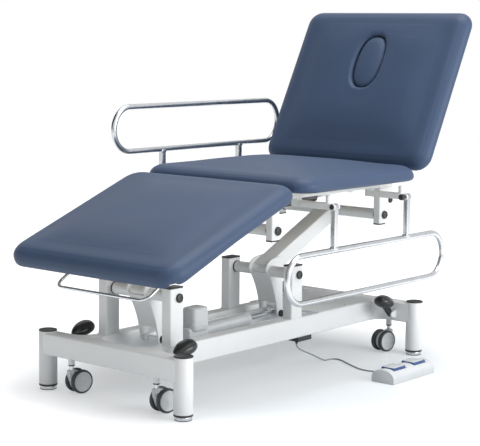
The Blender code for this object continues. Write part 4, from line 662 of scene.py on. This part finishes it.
# Linear actuator. A pale motor housing over a gear case, a pale outer tube with end rings, and a bright rod
# that pushes the rear lever's pin.
ACTUATOR_Y = -0.010
head_x, head_z = pins[1][:2]
lean = math.degrees(math.atan2(head_z - MOTOR_Z, head_x - MOTOR_X))
tube = [(CORE, 0.018), (0.0190, 0.018), (0.0215, 0.022), (0.0215, 0.352), (0.0228, 0.354), (0.0228, 0.374),
        (0.0215, 0.3785), (0.0195, 0.380), (0.0115, 0.380), (0.0112, 0.376), (CORE, 0.376)]
gear_case = prism(box_section(0.078, 0.056, 0.012, 8), 0.034, 0.124, "YZ", (0.0, -0.014, 0.002), 0.006)
MOTOR_AXIS = (0.080, -0.036, 0.0)
motor = prism(box_section(0.070, 0.058, 0.014, 8), 0.018, 0.0935, "XY", MOTOR_AXIS, 0.009)
vents = [prism(box_section(0.0715, 0.0595, 0.0145, 8), z, z + 0.0022, "XY", MOTOR_AXIS, 0.0008)
         for z in (0.034, 0.041, 0.048)]
eye = prism(wrapped([(0.0, 0.0, 0.014), (0.020, 0.006, 0.002), (0.020, -0.006, 0.002)]), -0.009, 0.009, "XZ",
            soften=0.001)
shells = [swung(rings, lean, MOTOR_X, MOTOR_Z) + np.array([0.0, ACTUATOR_Y, 0.0])
          for rings in [turned(tube, ORIGIN, "X", 48), gear_case, motor, eye] + vents]
fit("actuator_motor_and_tube", shells, pale, "lift_motor", ["actuator_body"])
rod = turned([(CORE, -0.300), (0.0092, -0.300), (0.0100, -0.299), (0.0100, -0.012), (CORE, -0.012)], ORIGIN,
             "X", 32)
eye = prism(wrapped([(0.0, 0.0, 0.014), (-0.018, 0.0, 0.011)]), -0.009, 0.009, "XZ", soften=0.001)
shells = [swung(rings, lean, head_x, head_z) + np.array([0.0, ACTUATOR_Y, 0.0]) for rings in (rod, eye)]
fit("actuator_push_rod", shells, zinc, "lift_rod", ["actuator_rod"])

# Seat frame. Square tubes along both sides with channels between them, lugs for the two hinges and the
# struts, outriggers that end in forks and stops for the side rails, and four brackets that hang to the upper
# pivots.
FRAME_Z, FRAME_Y = 0.6087, 0.217
LEG_HINGE, BACK_HINGE = (-0.125, 0.610), (0.548, 0.640)


def side_tubes(x0, x1, z):
    """Two square tubes along X, one on each side."""
    return [prism(box_section(0.028, 0.028, 0.0035), x0, x1, "YZ", (0.0, side * FRAME_Y, z), 0.0008)
            for side in (-1, 1)]


def cross_channel(x, z):
    """A channel between the side tubes, open below: outer walls, then the inner faces back again."""
    u = np.array([0.0135, 0.0135, -0.0135, -0.0135, -0.0105, -0.0105, 0.0105, 0.0105])
    v = np.array([-0.0135, 0.0135, 0.0135, -0.0135, -0.0135, 0.0105, 0.0105, -0.0135])
    return prism(np.stack([x + u, z + v], -1), -0.205, 0.205, "XZ", soften=0.0003)


def lug_pair(discs, middle, gap, thick=LUG_THICK):
    """Two upright plates with the same outline, wrapped round discs, a gap apart."""
    return [prism(wrapped(discs), *sorted((middle + way * gap / 2, middle + way * (gap / 2 + thick))), "XZ",
                  soften=0.0008) for way in (-1, 1)]


shells = side_tubes(-0.112, 0.528, FRAME_Z) + [cross_channel(x, FRAME_Z) for x in (-0.098, 0.130, 0.514)]
HINGE_GAP, OUTER_HINGE_GAP, STRUT_GAP, GUSSET_GAP = 0.3798, 0.393, 0.0132, 0.4524
BACK_STRUT_FOOT, LEG_STRUT_FOOT, LEG_STRUT_Y = (0.130, 0.540), (0.085, 0.585), 0.080
shells += lug_pair([(*LEG_HINGE, 0.010), (-0.1085, 0.601, 0.001), (-0.1085, 0.619, 0.001)], 0.0, HINGE_GAP)
shells += lug_pair([(*BACK_HINGE, 0.010), (0.527, 0.619, 0.002), (0.527, 0.598, 0.002),
                    (0.542, 0.616, 0.004)], 0.0, HINGE_GAP)
shells += lug_pair([(*BACK_STRUT_FOOT, 0.009), (0.118, 0.597, 0.001), (0.142, 0.597, 0.001)], 0.0, STRUT_GAP)
shells += lug_pair([(*LEG_STRUT_FOOT, 0.009), (0.117, 0.597, 0.001), (0.117, 0.621, 0.001)], LEG_STRUT_Y,
                   STRUT_GAP)
RAIL_Y, RAIL_Z, RAIL_POSTS = 0.368, 0.578, (0.009, 0.415)
for x in RAIL_POSTS:
    for side in (-1, 1):
        ends = sorted((side * 0.2290, side * 0.3535))
        shells.append(prism(box_section(0.026, 0.020, 0.0035), *ends, "XZ", (x, 0.0, RAIL_Z), 0.001))
        shells.append(prism(box_section(0.025, 0.027, 0.003), RAIL_Z - 0.0095, FRAME_Z - 0.0135, "XY",
                            (x, side * FRAME_Y, 0.0), 0.0008))
        cheek = wrapped([(side * RAIL_Y, RAIL_Z, 0.011), (side * 0.3525, RAIL_Z + 0.0085, 0.001),
                         (side * 0.3525, RAIL_Z - 0.0085, 0.001)])
        for low in (0.0093, -0.0143):
            shells.append(prism(cheek, x + low, x + low + 0.005, "YZ", soften=0.0009))
        shells.append(turned([(CORE, 0.5870), (0.0085, 0.5870), (0.0085, 0.6110), (0.0075, 0.6120),
                              (CORE, 0.6122)], (x, side * 0.3430, 0.0), sides=24))
bracket_caps = []
for pivot in UPPER_PIVOTS:
    for side in (-1, 1):
        place = (pivot - PIVOT_OFFSET, side * FRAME_Y, 0.0)
        shells.append(prism(box_section(0.038, 0.027, 0.004), UPPER_Z - 0.029, FRAME_Z - 0.0130, "XY", place,
                            0.0006))
        bracket_caps.append(prism(box_section(0.0395, 0.0285, 0.0045), UPPER_Z - 0.0335, UPPER_Z - 0.0292,
                                  "XY", place, 0.0016))

# A gusset behind each rear bracket takes the back hinge's load, and one bolt holds it
gusset = [(0.470, 0.5920, 0.003), (0.5285, 0.5920, 0.003), (0.517, 0.5440, 0.018), (0.470, 0.5280, 0.003)]
shells += lug_pair(gusset, 0.0, GUSSET_GAP, 0.005)
bolt_heads = both_ways([(CORE, 0.2312), (0.0094, 0.2312), (0.0100, 0.2320), (0.0100, 0.2350),
                        (0.0088, 0.2366), (0.0056, 0.2372), (0.0050, 0.2372), (0.0046, 0.2362),
                        (CORE, 0.2362)], (0.5150, 0.0, 0.5480), "Y", 32)
for x, z in (LEG_HINGE, BACK_HINGE):
    bolt_heads += both_ways([(CORE, 0.1899), (0.0050, 0.1899), (0.0050, 0.2030), (0.0078, 0.2030),
                             (0.0078, 0.2054), (0.0062, 0.2066), (CORE, 0.2068)], (x, 0.0, z), "Y", 24)
fit("seat_frame_weldment", shells, coat, "upper", ["seat_frame"])
fit("bracket_caps", bracket_caps + bolt_heads, nylon, "upper")

# Leg frame and back frame. Each is two square tubes and three channels, drawn level and then swung to its
# angle about its hinge, with bored lugs at the hinge and a lug for its strut. The leg pad hides the leg
# frame's foot end.
LEG_FALL, BACK_RISE = 20.5, 62.2
leg_z = -0.0013
shells = side_tubes(-0.583, -0.031, leg_z) + [cross_channel(x, leg_z) for x in (-0.027, -0.250, -0.569)]
LEG_STRUT_HEAD, BACK_STRUT_HEAD = (-0.050, -0.035), (-0.050, -0.080)
shells += lug_pair([(0.0, 0.0, 0.010), (-0.0145, 0.009, 0.001), (-0.0145, -0.009, 0.001)], 0.0,
                   OUTER_HINGE_GAP)
shells += lug_pair([(*LEG_STRUT_HEAD, 0.009), (-0.039, -0.0135, 0.001), (-0.015, -0.0135, 0.001)],
                   LEG_STRUT_Y, STRUT_GAP)
shells = [swung(rings, LEG_FALL, *LEG_HINGE) for rings in shells]
fit("leg_frame_weldment", shells, coat, "leg", ["leg_frame"])
back_z = -0.0313
shells = side_tubes(0.024, 0.559, back_z) + [cross_channel(x, back_z) for x in (0.038, 0.265, 0.545)]
shells += lug_pair([(0.0, 0.0, 0.010), (0.0065, -0.020, 0.003), (0.0260, -0.020, 0.001),
                    (0.0260, -0.042, 0.001), (0.003, -0.030, 0.002)], 0.0, OUTER_HINGE_GAP)
shells += lug_pair([(*BACK_STRUT_HEAD, 0.009), (0.026, -0.0435, 0.001), (0.050, -0.0435, 0.001)], 0.0,
                   STRUT_GAP)
shells = [swung(rings, BACK_RISE, *BACK_HINGE) for rings in shells]
fit("back_frame_weldment", shells, coat, "back", ["back_frame"])

# Struts. A gas spring raises the back and a locking spring holds the leg section: black painted cylinders
# with bright rods, each with a flat eye at both ends.

# Sprayed enamel: glossy, with slow waves of 8 mm left by the spray.
paint = mottled("gloss_black_paint", ("#131416", "#1F2124"), (120.0, 2.0), 0.22, 1.5, 0.06, deep=0.0003)


def joined_head(hinge, degrees, point):
    """Where a point of a section drawn level lies once the section is swung about its hinge."""
    return swung(np.array([point[0], 0.0, point[1]]), degrees, *hinge)[[0, 2]].tolist()


back_head = joined_head(BACK_HINGE, BACK_RISE, BACK_STRUT_HEAD)
leg_head = joined_head(LEG_HINGE, LEG_FALL, LEG_STRUT_HEAD)
for name, foot, head, y, radius, length, rod_r, rod_length in (
        ("back", BACK_STRUT_FOOT, back_head, 0.0, 0.0175, 0.260, 0.0045, 0.275),
        ("leg", LEG_STRUT_FOOT, leg_head, LEG_STRUT_Y, 0.009, 0.150, 0.004, 0.140)):
    lean = math.degrees(math.atan2(head[1] - foot[1], head[0] - foot[0]))
    body = [(CORE, 0.013), (radius - 0.002, 0.013), (radius, 0.015), (radius, length - 0.012),
            (radius - 0.0015, length - 0.010), (radius - 0.0015, length - 0.002), (radius - 0.003, length),
            (rod_r + 0.0006, length), (rod_r + 0.0006, length - 0.002), (CORE, length - 0.002)]
    eye = prism(wrapped([(0.0, 0.0, 0.009), (0.014, 0.0, 0.006)]), -0.006, 0.006, "XZ", soften=0.0008)
    shells = [swung(rings, lean, *foot) + np.array([0.0, y, 0.0])
              for rings in (turned(body, ORIGIN, "X", 40), eye)]
    fit(name + "_strut_tube", shells, paint, name + "_cylinder", [name + "_strut_cylinder"])
    rod = turned([(CORE, -rod_length), (rod_r, -rod_length), (rod_r, -0.008), (CORE, -0.008)], ORIGIN, "X",
                 24)
    eye = prism(wrapped([(0.0, 0.0, 0.009), (-0.011, 0.0, 0.005)]), -0.006, 0.006, "XZ", soften=0.0008)
    shells = [swung(rings, lean, *head) + np.array([0.0, y, 0.0]) for rings in (rod, eye)]
    fit(name + "_strut_piston", shells, zinc, name + "_rod", [name + "_strut_rod"])

# Side rails. Each is a loop of 19 mm satin chromed tube welded to two square posts of the same finish. The
# posts turn in the outriggers' forks, so that the rail flips up or hangs down.

# Plated over a brushed tube, so reflections are soft, with a haze of hand marks some 30 mm wide.
chrome = mottled("satin_chrome", ("#B6BABE", "#D0D3D6"), (34.0, 5.0), (0.17, 0.30))


def rounded_line(points, bend, steps, closed=False):
    """A line through points with a circular arc of radius bend at each corner."""
    points = np.asarray(points, float)
    back = np.roll(points, 1, 0) - points
    ahead = np.roll(points, -1, 0) - points
    back = back / np.linalg.norm(back, axis=1, keepdims=True)
    ahead = ahead / np.linalg.norm(ahead, axis=1, keepdims=True)
    half = np.arccos(np.clip((back * ahead).sum(1), -1, 1))[:, None] / 2
    bisector = (back + ahead) / np.maximum(np.linalg.norm(back + ahead, axis=1, keepdims=True), 1e-9)
    centre = points + bisector * bend / np.sin(half)
    side = (back - ahead) / np.maximum(np.linalg.norm(back - ahead, axis=1, keepdims=True), 1e-9)
    spread = (np.pi / 2 - half)[:, None] * np.linspace(1.0, -1.0, steps + 1)[None, :, None]
    arcs = centre[:, None] + bend * (side[:, None] * np.sin(spread) - bisector[:, None] * np.cos(spread))
    if closed:
        return arcs.reshape(-1, 3)
    return np.concatenate([points[:1], arcs[1:-1].reshape(-1, 3), points[-1:]])


KNOB_SIDES, KNOB_RIBS = 48, 12
for name, side, up in (("near", -1, -1), ("far", 1, 1)):
    near, far = RAIL_Z + up * 0.138, RAIL_Z + up * 0.287
    y = side * RAIL_Y
    corners = [(-0.226, y, near), (0.638, y, near), (0.638, y, far), (-0.226, y, far)]
    path = rounded_line(corners, 0.0735, 16, closed=True)
    loop = swept(path, round_section(0.0095, 28), (0.0, 1.0, 0.0), closed=True)
    shells = []
    for x in RAIL_POSTS:
        post = wrapped([(y, RAIL_Z, 0.009), (y - 0.0085, near, 0.0005), (y + 0.0085, near, 0.0005)], 96)
        shells.append(prism(post, x - 0.009, x + 0.009, "YZ", soften=0.002))
        shells.append(prism(box_section(0.0225, 0.0212, 0.004), *sorted((near, near - up * 0.0125)), "XY",
                            (x, y, 0.0), 0.003))
    fit(name + "_rail_tube", shells, chrome, name + "_rail", [name + "_side_rail"],
        loops=[loop])
    knob = turned([(CORE, 0.0), (0.0060, 0.0), (0.0060, -0.0080), (0.0090, -0.0088), (0.0100, -0.0100),
                   (0.0100, -0.0215), (0.0092, -0.0235), (0.0070, -0.0240), (CORE, -0.0236)],
                  (0.4001, y, RAIL_Z), "X", KNOB_SIDES)
    grip = np.cos(np.linspace(0.0, 2 * np.pi, KNOB_SIDES, endpoint=False) * KNOB_RIBS)[None, :, None]
    axis = np.array([y, RAIL_Z])
    stem = knob[..., :1] > 0.3915
    knob[..., 1:] = axis + (knob[..., 1:] - axis) * np.where(stem, 1.0, 1.0 + 0.035 * grip)
    fit(name + "_rail_knob", [knob], nylon, name + "_lock", [name + "_rail_lock_knob"], 50.0)
heads = [turned([(CORE, x + way * 0.0142), (0.0082, x + way * 0.0142), (0.0086, x + way * 0.0150),
                 (0.0080, x + way * 0.0172), (0.0050, x + way * 0.0182), (CORE, x + way * 0.0184)],
                (0.0, side * RAIL_Y, RAIL_Z), "X", 28)
         for side in (-1, 1) for x, way in ((RAIL_POSTS[0], -1), (RAIL_POSTS[0], 1), (RAIL_POSTS[1], 1))]
fit("rail_fork_bolts", heads, nylon, "upper")

# Release bar. A bail of 10 mm bright steel rod, bent at two corners and hung in the leg frame's tubes.
# Pulling it up frees the locking strut.
RELEASE_PIVOT, RELEASE_BAR, RELEASE_HALF = (-0.320, -0.013), (-0.594, -0.061), 0.190
reach = np.array([RELEASE_BAR[0], 0.0, RELEASE_BAR[1]])
pivot = np.array([RELEASE_PIVOT[0], 0.0, RELEASE_PIVOT[1]])
arm = np.array([0.0, RELEASE_HALF, 0.0])
plane = np.cross(reach - pivot, arm)
bail = rounded_line([pivot + arm, reach + arm, reach - arm, pivot - arm], 0.030, 12)
shells = [swept(bail, round_section(0.005, 24), plane / np.linalg.norm(plane))]
shells += both_ways([(CORE, 0.1835), (0.0050, 0.1850), (0.0050, 0.2027), (CORE, 0.2027)], pivot, "Y", 24)
shells = [swung(rings, LEG_FALL, *LEG_HINGE) for rings in shells]
fit("release_bail", shells, chrome, "release", ["release_bar"])

# Boards. 12 mm birch plywood under each pad, let into its underside and screwed to its frame. Only the bottom
# faces show. The veneer's grain runs along the couch, in streaks of about 14 mm.
ply = mottled("birch_plywood", ("#A59A88", "#C2B8A8"), (1.0, 6.0), 0.62, 1.5, 0.15, deep=0.0003,
              stretch=(5.0, 70.0, 5.0), twist=0.6)
for node in ("seat_board", "leg_board", "back_board"):
    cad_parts[node].data.materials.clear()
    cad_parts[node].data.materials.append(ply)

# Pads. Each section is a slab of foam on its board, under navy vinyl that is pulled tight round the edges and
# stapled below, so the top is crowned and the edges are thin and rounded.

# Vinyl: dull cloth-backed sheet with a pebbled grain, drawn at 2 mm so that it shows, and slow waves where it
# is slack.
vinyl, tree = new_finish("navy_vinyl")
place = add_node(tree, "ShaderNodeTexCoord")
grain = add_node(tree, "ShaderNodeTexVoronoi", {"Vector": place.outputs["Object"], "Scale": 420.0},
                 feature="SMOOTH_F1")
slack = add_node(tree, "ShaderNodeTexNoise", {"Vector": place.outputs["Object"], "Scale": 9.0, "Detail": 3.0})
cloud = add_node(tree, "ShaderNodeTexNoise", {"Vector": place.outputs["Object"], "Scale": 4.0, "Detail": 4.0})
tone = add_node(tree, "ShaderNodeMix", {"Factor": cloud.outputs["Fac"], "A": linear("#3A4B65"),
                                        "B": linear("#425471")}, data_type="RGBA")
rough = add_node(tree, "ShaderNodeMapRange", {"Value": cloud.outputs["Fac"], "To Min": 0.44, "To Max": 0.56})
soft = add_node(tree, "ShaderNodeBump", {"Height": slack.outputs["Fac"], "Strength": 0.10, "Distance": 0.004})
bump = add_node(tree, "ShaderNodeBump",
                {"Height": grain.outputs["Distance"], "Strength": 0.10, "Distance": 0.0004,
                 "Normal": soft.outputs[0]})
shader = add_node(tree, "ShaderNodeBsdfPrincipled",
                  {"Base Color": tone.outputs["Result"], "Roughness": rough.outputs[0], "IOR": 1.5,
                   "Specular IOR Level": 0.28, "Normal": bump.outputs[0], "Sheen Weight": 0.03,
                   "Sheen Roughness": 0.5})
add_node(tree, "ShaderNodeOutputMaterial", {"Surface": shader.outputs[0]})

PAD_HALF, PAD_THICK, PAD_CORNER, PAD_CROWN, PAD_SWELL = 0.352, 0.053, 0.070, 0.015, 0.006
BOARD_INSET, BOARD_POCKET, CLOTH_FRAMES = 0.0212, 0.0124, 20


def pad_ring(x0, x1, inset, z, corner=PAD_CORNER, half=PAD_HALF):
    """The pad's outline at one height: a rounded rectangle drawn in by inset."""
    section = box_section(x1 - x0 - 2 * inset, 2 * (half - inset), max(corner - inset, 0.012), 9)
    return np.column_stack([section[:, 0] + (x0 + x1) / 2, section[:, 1], np.full(len(section), z)])


def pad_side():
    """(inset, height) up a pad's side: a quarter circle, then most of a flat quarter ellipse over it."""
    low, high = np.linspace(0.0, np.pi / 2, 5), np.linspace(0.0, 1.31, 9)
    under = np.stack([0.014 * (1 - np.sin(low)), 0.014 * (1 - np.cos(low))], -1)
    over = np.stack([0.060 * (1 - np.cos(high)), PAD_THICK - 0.037 * (1 - np.sin(high))], -1)
    return np.concatenate([under, over]) + np.array([0.001, 0.0])


def points_of(mesh):
    """A mesh's points as an array."""
    flat = np.empty(len(mesh.vertices) * 3)
    mesh.vertices.foreach_get("co", flat)
    return flat.reshape(-1, 3)


def puffed(name, mesh, slack, cap):
    """Foam under a tight cover: remeshed at 6 mm, with its front lifted by cloth pressure, by at most cap.

    slack(points) says how free the cover is, from 0 where it is held to 1. The front is then eased in height.
    """
    work = bpy.data.objects.new(name, mesh)
    scene.collection.objects.link(work)
    remesh = work.modifiers.new("remesh", "REMESH")
    remesh.mode = "VOXEL"
    remesh.voxel_size = 0.006
    work.data = bpy.data.meshes.new_from_object(work.evaluated_get(bpy.context.evaluated_depsgraph_get()))
    work.modifiers.clear()
    before = points_of(work.data)
    free = slack(before - MIDDLE)
    work.vertex_groups.new(name="held").add(np.flatnonzero(free == 0.0).tolist(), 1.0, "REPLACE")
    work.vertex_groups.new(name="below").add(np.flatnonzero(before[:, 2] < 0.016).tolist(), 1.0, "REPLACE")
    cloth = work.modifiers.new("cloth", "CLOTH")
    cloth.settings.quality = 4
    cloth.settings.mass = 0.3
    cloth.settings.use_pressure = True
    cloth.settings.uniform_pressure_force = 4.0
    cloth.settings.effector_weights.gravity = 0.0
    cloth.settings.vertex_group_mass = "held"
    cloth.collision_settings.use_collision = False
    cloth.point_cache.frame_end = CLOTH_FRAMES
    for step in range(1, CLOTH_FRAMES + 1):
        scene.frame_set(step)
    settled = work.evaluated_get(bpy.context.evaluated_depsgraph_get()).to_mesh()
    lift = np.clip((points_of(settled) - before)[:, 2], -cap, cap)
    work.modifiers.clear()
    scene.frame_set(1)
    before[:, 2] += lift * free
    work.data.vertices.foreach_set("co", before.ravel())
    work.data.update()
    ease = work.modifiers.new("ease", "SMOOTH")
    ease.use_x = ease.use_y = False
    ease.factor, ease.iterations = 0.5, 10
    ease.vertex_group, ease.invert_vertex_group = "below", True
    finer = work.modifiers.new("subdivision", "SUBSURF")
    finer.levels = finer.render_levels = 1
    final = bpy.data.meshes.new_from_object(work.evaluated_get(bpy.context.evaluated_depsgraph_get()))
    bpy.data.objects.remove(work)
    return final


def place_pad(mesh, degrees, hinge):
    """Swings a finished pad, drawn level about its hinge, to its section's angle."""
    at = points_of(mesh) - MIDDLE
    mesh.vertices.foreach_set("co", (swung(at, degrees, *hinge) + MIDDLE).ravel())
    mesh.update()
    return mesh


def crown_height(points, x0, x1, half=PAD_HALF):
    """Height of a pad's front: 15 mm of crown that falls to the edges as the cube of the way to them."""
    edge, height = pad_side()[-1]
    u = np.minimum(np.abs(points[:, 0] - (x0 + x1) / 2) / ((x1 - x0) / 2 - edge), 1.0)
    v = np.minimum(np.abs(points[:, 1]) / (half - edge), 1.0)
    return height + PAD_CROWN * (1 - u ** 3) * (1 - v ** 3)


def crowned_pad(x0, x1):
    """Rings of a plain pad, drawn from z 0: the pocket for its board, its side, and its crowned front."""
    rings = [pad_ring(x0, x1, BOARD_INSET, z) for z in (BOARD_POCKET, 0.0)]
    rings += [pad_ring(x0, x1, inset, z) for inset, z in pad_side()]
    edge = pad_side()[-1][0]
    for inset in np.linspace(edge, min(x1 - x0, 2 * PAD_HALF) / 2 - 0.020, 18)[1:]:
        ring = pad_ring(x0, x1, inset, 0.0)
        ring[:, 2] = crown_height(ring, x0, x1)
        rings.append(ring)
    return np.stack(rings)


def hung_edge(mesh, x0):
    """Lets the cover hang below the board at the foot end, x0, by up to 10 mm.

    The drop grows over 6 mm outside the board, dies out up the side in 40 mm, and along the pad in 300 mm.
    """
    at = points_of(mesh) - MIDDLE
    margin, growth, drop_by = 0.0195, 0.006, 0.010
    past_foot = np.clip((x0 + margin - at[:, 0]) / growth, 0.0, 1.0)
    past_side = np.clip((np.abs(at[:, 1]) - PAD_HALF + margin) / growth, 0.0, 1.0)
    past_side *= np.clip(1 - (at[:, 0] - x0) / 0.300, 0.0, 1.0)
    at[:, 2] -= drop_by * np.maximum(past_foot, past_side) * np.clip(1 - at[:, 2] / 0.040, 0.0, 1.0)
    mesh.vertices.foreach_set("co", (at + MIDDLE).ravel())
    return mesh


def free_front(points, x0, x1, half=PAD_HALF):
    """0 below and up to 25 mm from the outline; smooth steps from all sides, multiplied, end at 150 mm."""
    inside = np.stack([points[:, 0] - x0, x1 - points[:, 0], half - np.abs(points[:, 1])])
    step = np.clip((inside - 0.025) / 0.125, 0.0, 1.0)
    return np.prod(step * step * (3 - 2 * step), axis=0) * (points[:, 2] > 0.030)


for name, body, x0, x1, degrees, hinge in (
        ("seat", "upper", -0.117, 0.530, 0.0, (0.0, 0.623)),
        ("leg", "leg", -0.627, -0.003, LEG_FALL, joined_head(LEG_HINGE, LEG_FALL, (0.0, 0.013)))):
    pad = puffed(name, mesh_of(name, [crowned_pad(x0, x1)]), lambda points: free_front(points, x0, x1),
                 PAD_SWELL)
    if name == "leg":
        pad = hung_edge(pad, x0)
    pad = place_pad(pad, degrees, hinge)
    fit(name + "_cushion", pad, vinyl, body, [name + "_pad"], 80.0)

# Back pad and its plug. The breathing hole is an oval cut through foam and board, and the plug that fills it
# is a small vinyl cushion of its own, pushed in from the front.
HOLE_X, HOLE_LENGTH, HOLE_WIDTH, PLUG_SWELL = 0.405, 0.212, 0.118, 0.004
BACK_ENDS, BACK_CORNER, BACK_HALF = (0.013, 0.620), 0.055, 0.355
count = len(pad_ring(*BACK_ENDS, 0.0, 0.0))


def hole_ring(inset, z, steps=count):
    """The breathing hole's outline: an oval of sines and cosines to the power 0.8, drawn in by inset."""
    a = np.pi / 4 + (np.arange(steps) - 4.5) * 2 * np.pi / steps
    c, s = np.cos(a), np.sin(a)
    x = HOLE_X + (HOLE_LENGTH / 2 - inset) * np.sign(c) * np.abs(c) ** 0.8
    y = (HOLE_WIDTH / 2 - inset) * np.sign(s) * np.abs(s) ** 0.8
    return np.column_stack([x, y, np.full(steps, z)])


def hole_share(points):
    """How far out from the hole's middle: 1 on its outline."""
    return ((np.abs(points[:, 0] - HOLE_X) / (HOLE_LENGTH / 2)) ** 2.5
            + (np.abs(points[:, 1]) / (HOLE_WIDTH / 2)) ** 2.5) ** 0.4


def free_round_hole(points):
    """As free_front, and also 0 on the wall and lip of the breathing hole, from where it rises smoothly."""
    step = np.clip((hole_share(points) - 1.2) / 0.6, 0.0, 1.0)
    return free_front(points, *BACK_ENDS, BACK_HALF) * step * step * (3 - 2 * step)


rings = [pad_ring(*BACK_ENDS, BOARD_INSET, z, BACK_CORNER, BACK_HALF) for z in (BOARD_POCKET, 0.0)]
rings += [pad_ring(*BACK_ENDS, inset, z, BACK_CORNER, BACK_HALF) for inset, z in pad_side()]
shoulder, rim = rings[-1], hole_ring(-0.010, PAD_THICK)
for share in np.linspace(0.08, 1.0, 15):
    ring = shoulder + share * (rim - shoulder)
    ring[:, 2] = crown_height(ring, *BACK_ENDS, BACK_HALF)
    rings.append(ring)
for inset, drop_in in ((-0.006, 0.0010), (-0.002, 0.0045), (0.0, 0.0100)):
    ring = hole_ring(inset, 0.0)
    ring[:, 2] = crown_height(ring, *BACK_ENDS, BACK_HALF) - drop_in
    rings.append(ring)
rings.append(hole_ring(0.0, BOARD_POCKET))
back_place = joined_head(BACK_HINGE, BACK_RISE, (0.0, -0.017))
pad = puffed("back", mesh_of("back", [], [np.stack(rings)]), free_round_hole, PAD_SWELL)
fit("back_cushion", place_pad(pad, BACK_RISE, back_place), vinyl, "back",
              ["back_pad"], 80.0)
plug_side = [(0.0010, 0.0), (0.0004, 0.0006), (0.0004, 0.0115), (0.0030, 0.0120), (0.0030, 0.0360),
             (0.0036, 0.0430), (0.0060, 0.0485), (0.0110, 0.0520), (0.0180, 0.0540), (0.0280, 0.0556),
             (0.0420, 0.0568), (0.0560, 0.0572)]
plug_rings = np.stack([hole_ring(inset, z, 72) for inset, z in plug_side])
follow = crown_height(plug_rings.reshape(-1, 3), *BACK_ENDS, BACK_HALF).reshape(plug_rings.shape[:2]) - 0.0585
plug_rings[..., 2] += follow * np.clip((plug_rings[..., 2] - 0.0120) / 0.0240, 0.0, 1.0)


def free_plug(points):
    """0 on the plug's sides and below, rising to 1 towards the middle of its front."""
    return np.clip((0.96 - hole_share(points)) / 0.5, 0.0, 1.0) * (points[:, 2] > 0.040)


plug = puffed("plug", mesh_of("plug", [plug_rings]), free_plug, PLUG_SWELL)
fit("breathing_hole_plug", place_pad(plug, BACK_RISE, back_place), vinyl, "plug",
              ["face_hole_plug"], 80.0)

# Foot switch. A low D-shaped housing of pale ABS with two blue pads in wells, one to raise the top and one to
# lower it. Each pad carries a pale ribbed plate, a painted highlight for the glossy light top of the blue
# pad.
SWITCH_X, SWITCH_Y, SWITCH_H, TREAD_SHIFT = (0.165, 0.405), (-0.500, -0.412), 0.044, 0.058
switch_x, switch_y = sum(SWITCH_X) / 2, sum(SWITCH_Y) / 2
half = (SWITCH_Y[1] - SWITCH_Y[0]) / 2
TREADS = (("foot", switch_x - TREAD_SHIFT), ("head", switch_x + TREAD_SHIFT))
WELL_LONG, WELL_WIDE, WELL_FLOOR = 0.0716, 0.0550, 0.0320


def switch_section(well):
    """A half-round section: its height is the 0.7 power of a circle's sine, cut flat where well is 1."""
    turn = np.linspace(0.0, math.acos(WELL_WIDE / 2 / half), 14)
    across = np.linspace(WELL_WIDE / 2 - 0.0003, -WELL_WIDE / 2 + 0.0003, 12)
    y = np.concatenate([half * np.cos(turn), across, -half * np.cos(turn[::-1])])
    z = 0.010 + (SWITCH_H - 0.010) * np.maximum(1 - (y / half) ** 2, 0.0) ** 0.35
    middle = slice(len(turn), len(turn) + len(across))
    z[middle] += well * (WELL_FLOOR - z[middle])
    foot = [(-half, 0.002), (-half + 0.002, 0.0), (half - 0.002, 0.0), (half, 0.002)]
    return np.concatenate([np.stack([y, z], -1), foot])


# Along the housing, each end is rounded by 3 mm, and the section steps down to the floor of each well
stations = [(SWITCH_X[0], 0.0, 0.003), (SWITCH_X[0] + 0.0009, 0.0, 0.0009), (SWITCH_X[0] + 0.003, 0.0, 0.0)]
for _, x in TREADS:
    a, b = x - WELL_LONG / 2, x + WELL_LONG / 2
    stations += [(a, 0.0, 0.0), (a + 0.0003, 1.0, 0.0), (b - 0.0003, 1.0, 0.0), (b, 0.0, 0.0)]
stations += [(SWITCH_X[1] - 0.003, 0.0, 0.0), (SWITCH_X[1] - 0.0009, 0.0, 0.0009), (SWITCH_X[1], 0.0, 0.003)]
shell = np.stack([np.insert(switch_section(well) * (1 - draw / SWITCH_H), 0, x, axis=1)
                  for x, well, draw in stations]) + np.array([0.0, switch_y, 0.0])
fit("foot_switch_housing", [shell], pale, "base", ["foot_switch_body"])

# The treads' ABS is dyed right through and glossier than the housing's.
blue = mottled("blue_abs", ("#1D3C70", "#2A4E8A"), (420.0, 2.0), 0.16, 1.53, 0.15)
for end, x in TREADS:
    tread = prism(box_section(0.070, 0.052, 0.006), 0.0355, 0.0466, "XY", (x, switch_y, 0.0), 0.0026)
    fit("foot_switch_tread_" + end, [tread], blue, "switch_" + end,
        ["foot_switch_pad_" + end])
    # The pale ribbed plate on each blue pad is a painted highlight: it stands for the pad's glossy light top.
    grip = [prism(box_section(0.061, 0.043, 0.005), 0.0455, 0.0474, "XY", (x, switch_y, 0.0), 0.0008)]
    grip += [prism(box_section(0.0035, 0.036, 0.0017), 0.0465, 0.0482, "XY", (x + dx, switch_y, 0.0), 0.0008)
             for dx in (-0.024, -0.012, 0.0, 0.012, 0.024)]
    fit("foot_switch_grip_" + end, grip, pale, "switch_" + end)

# Bounds of the shown pieces, leaving out the floor and the cards
low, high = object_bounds()
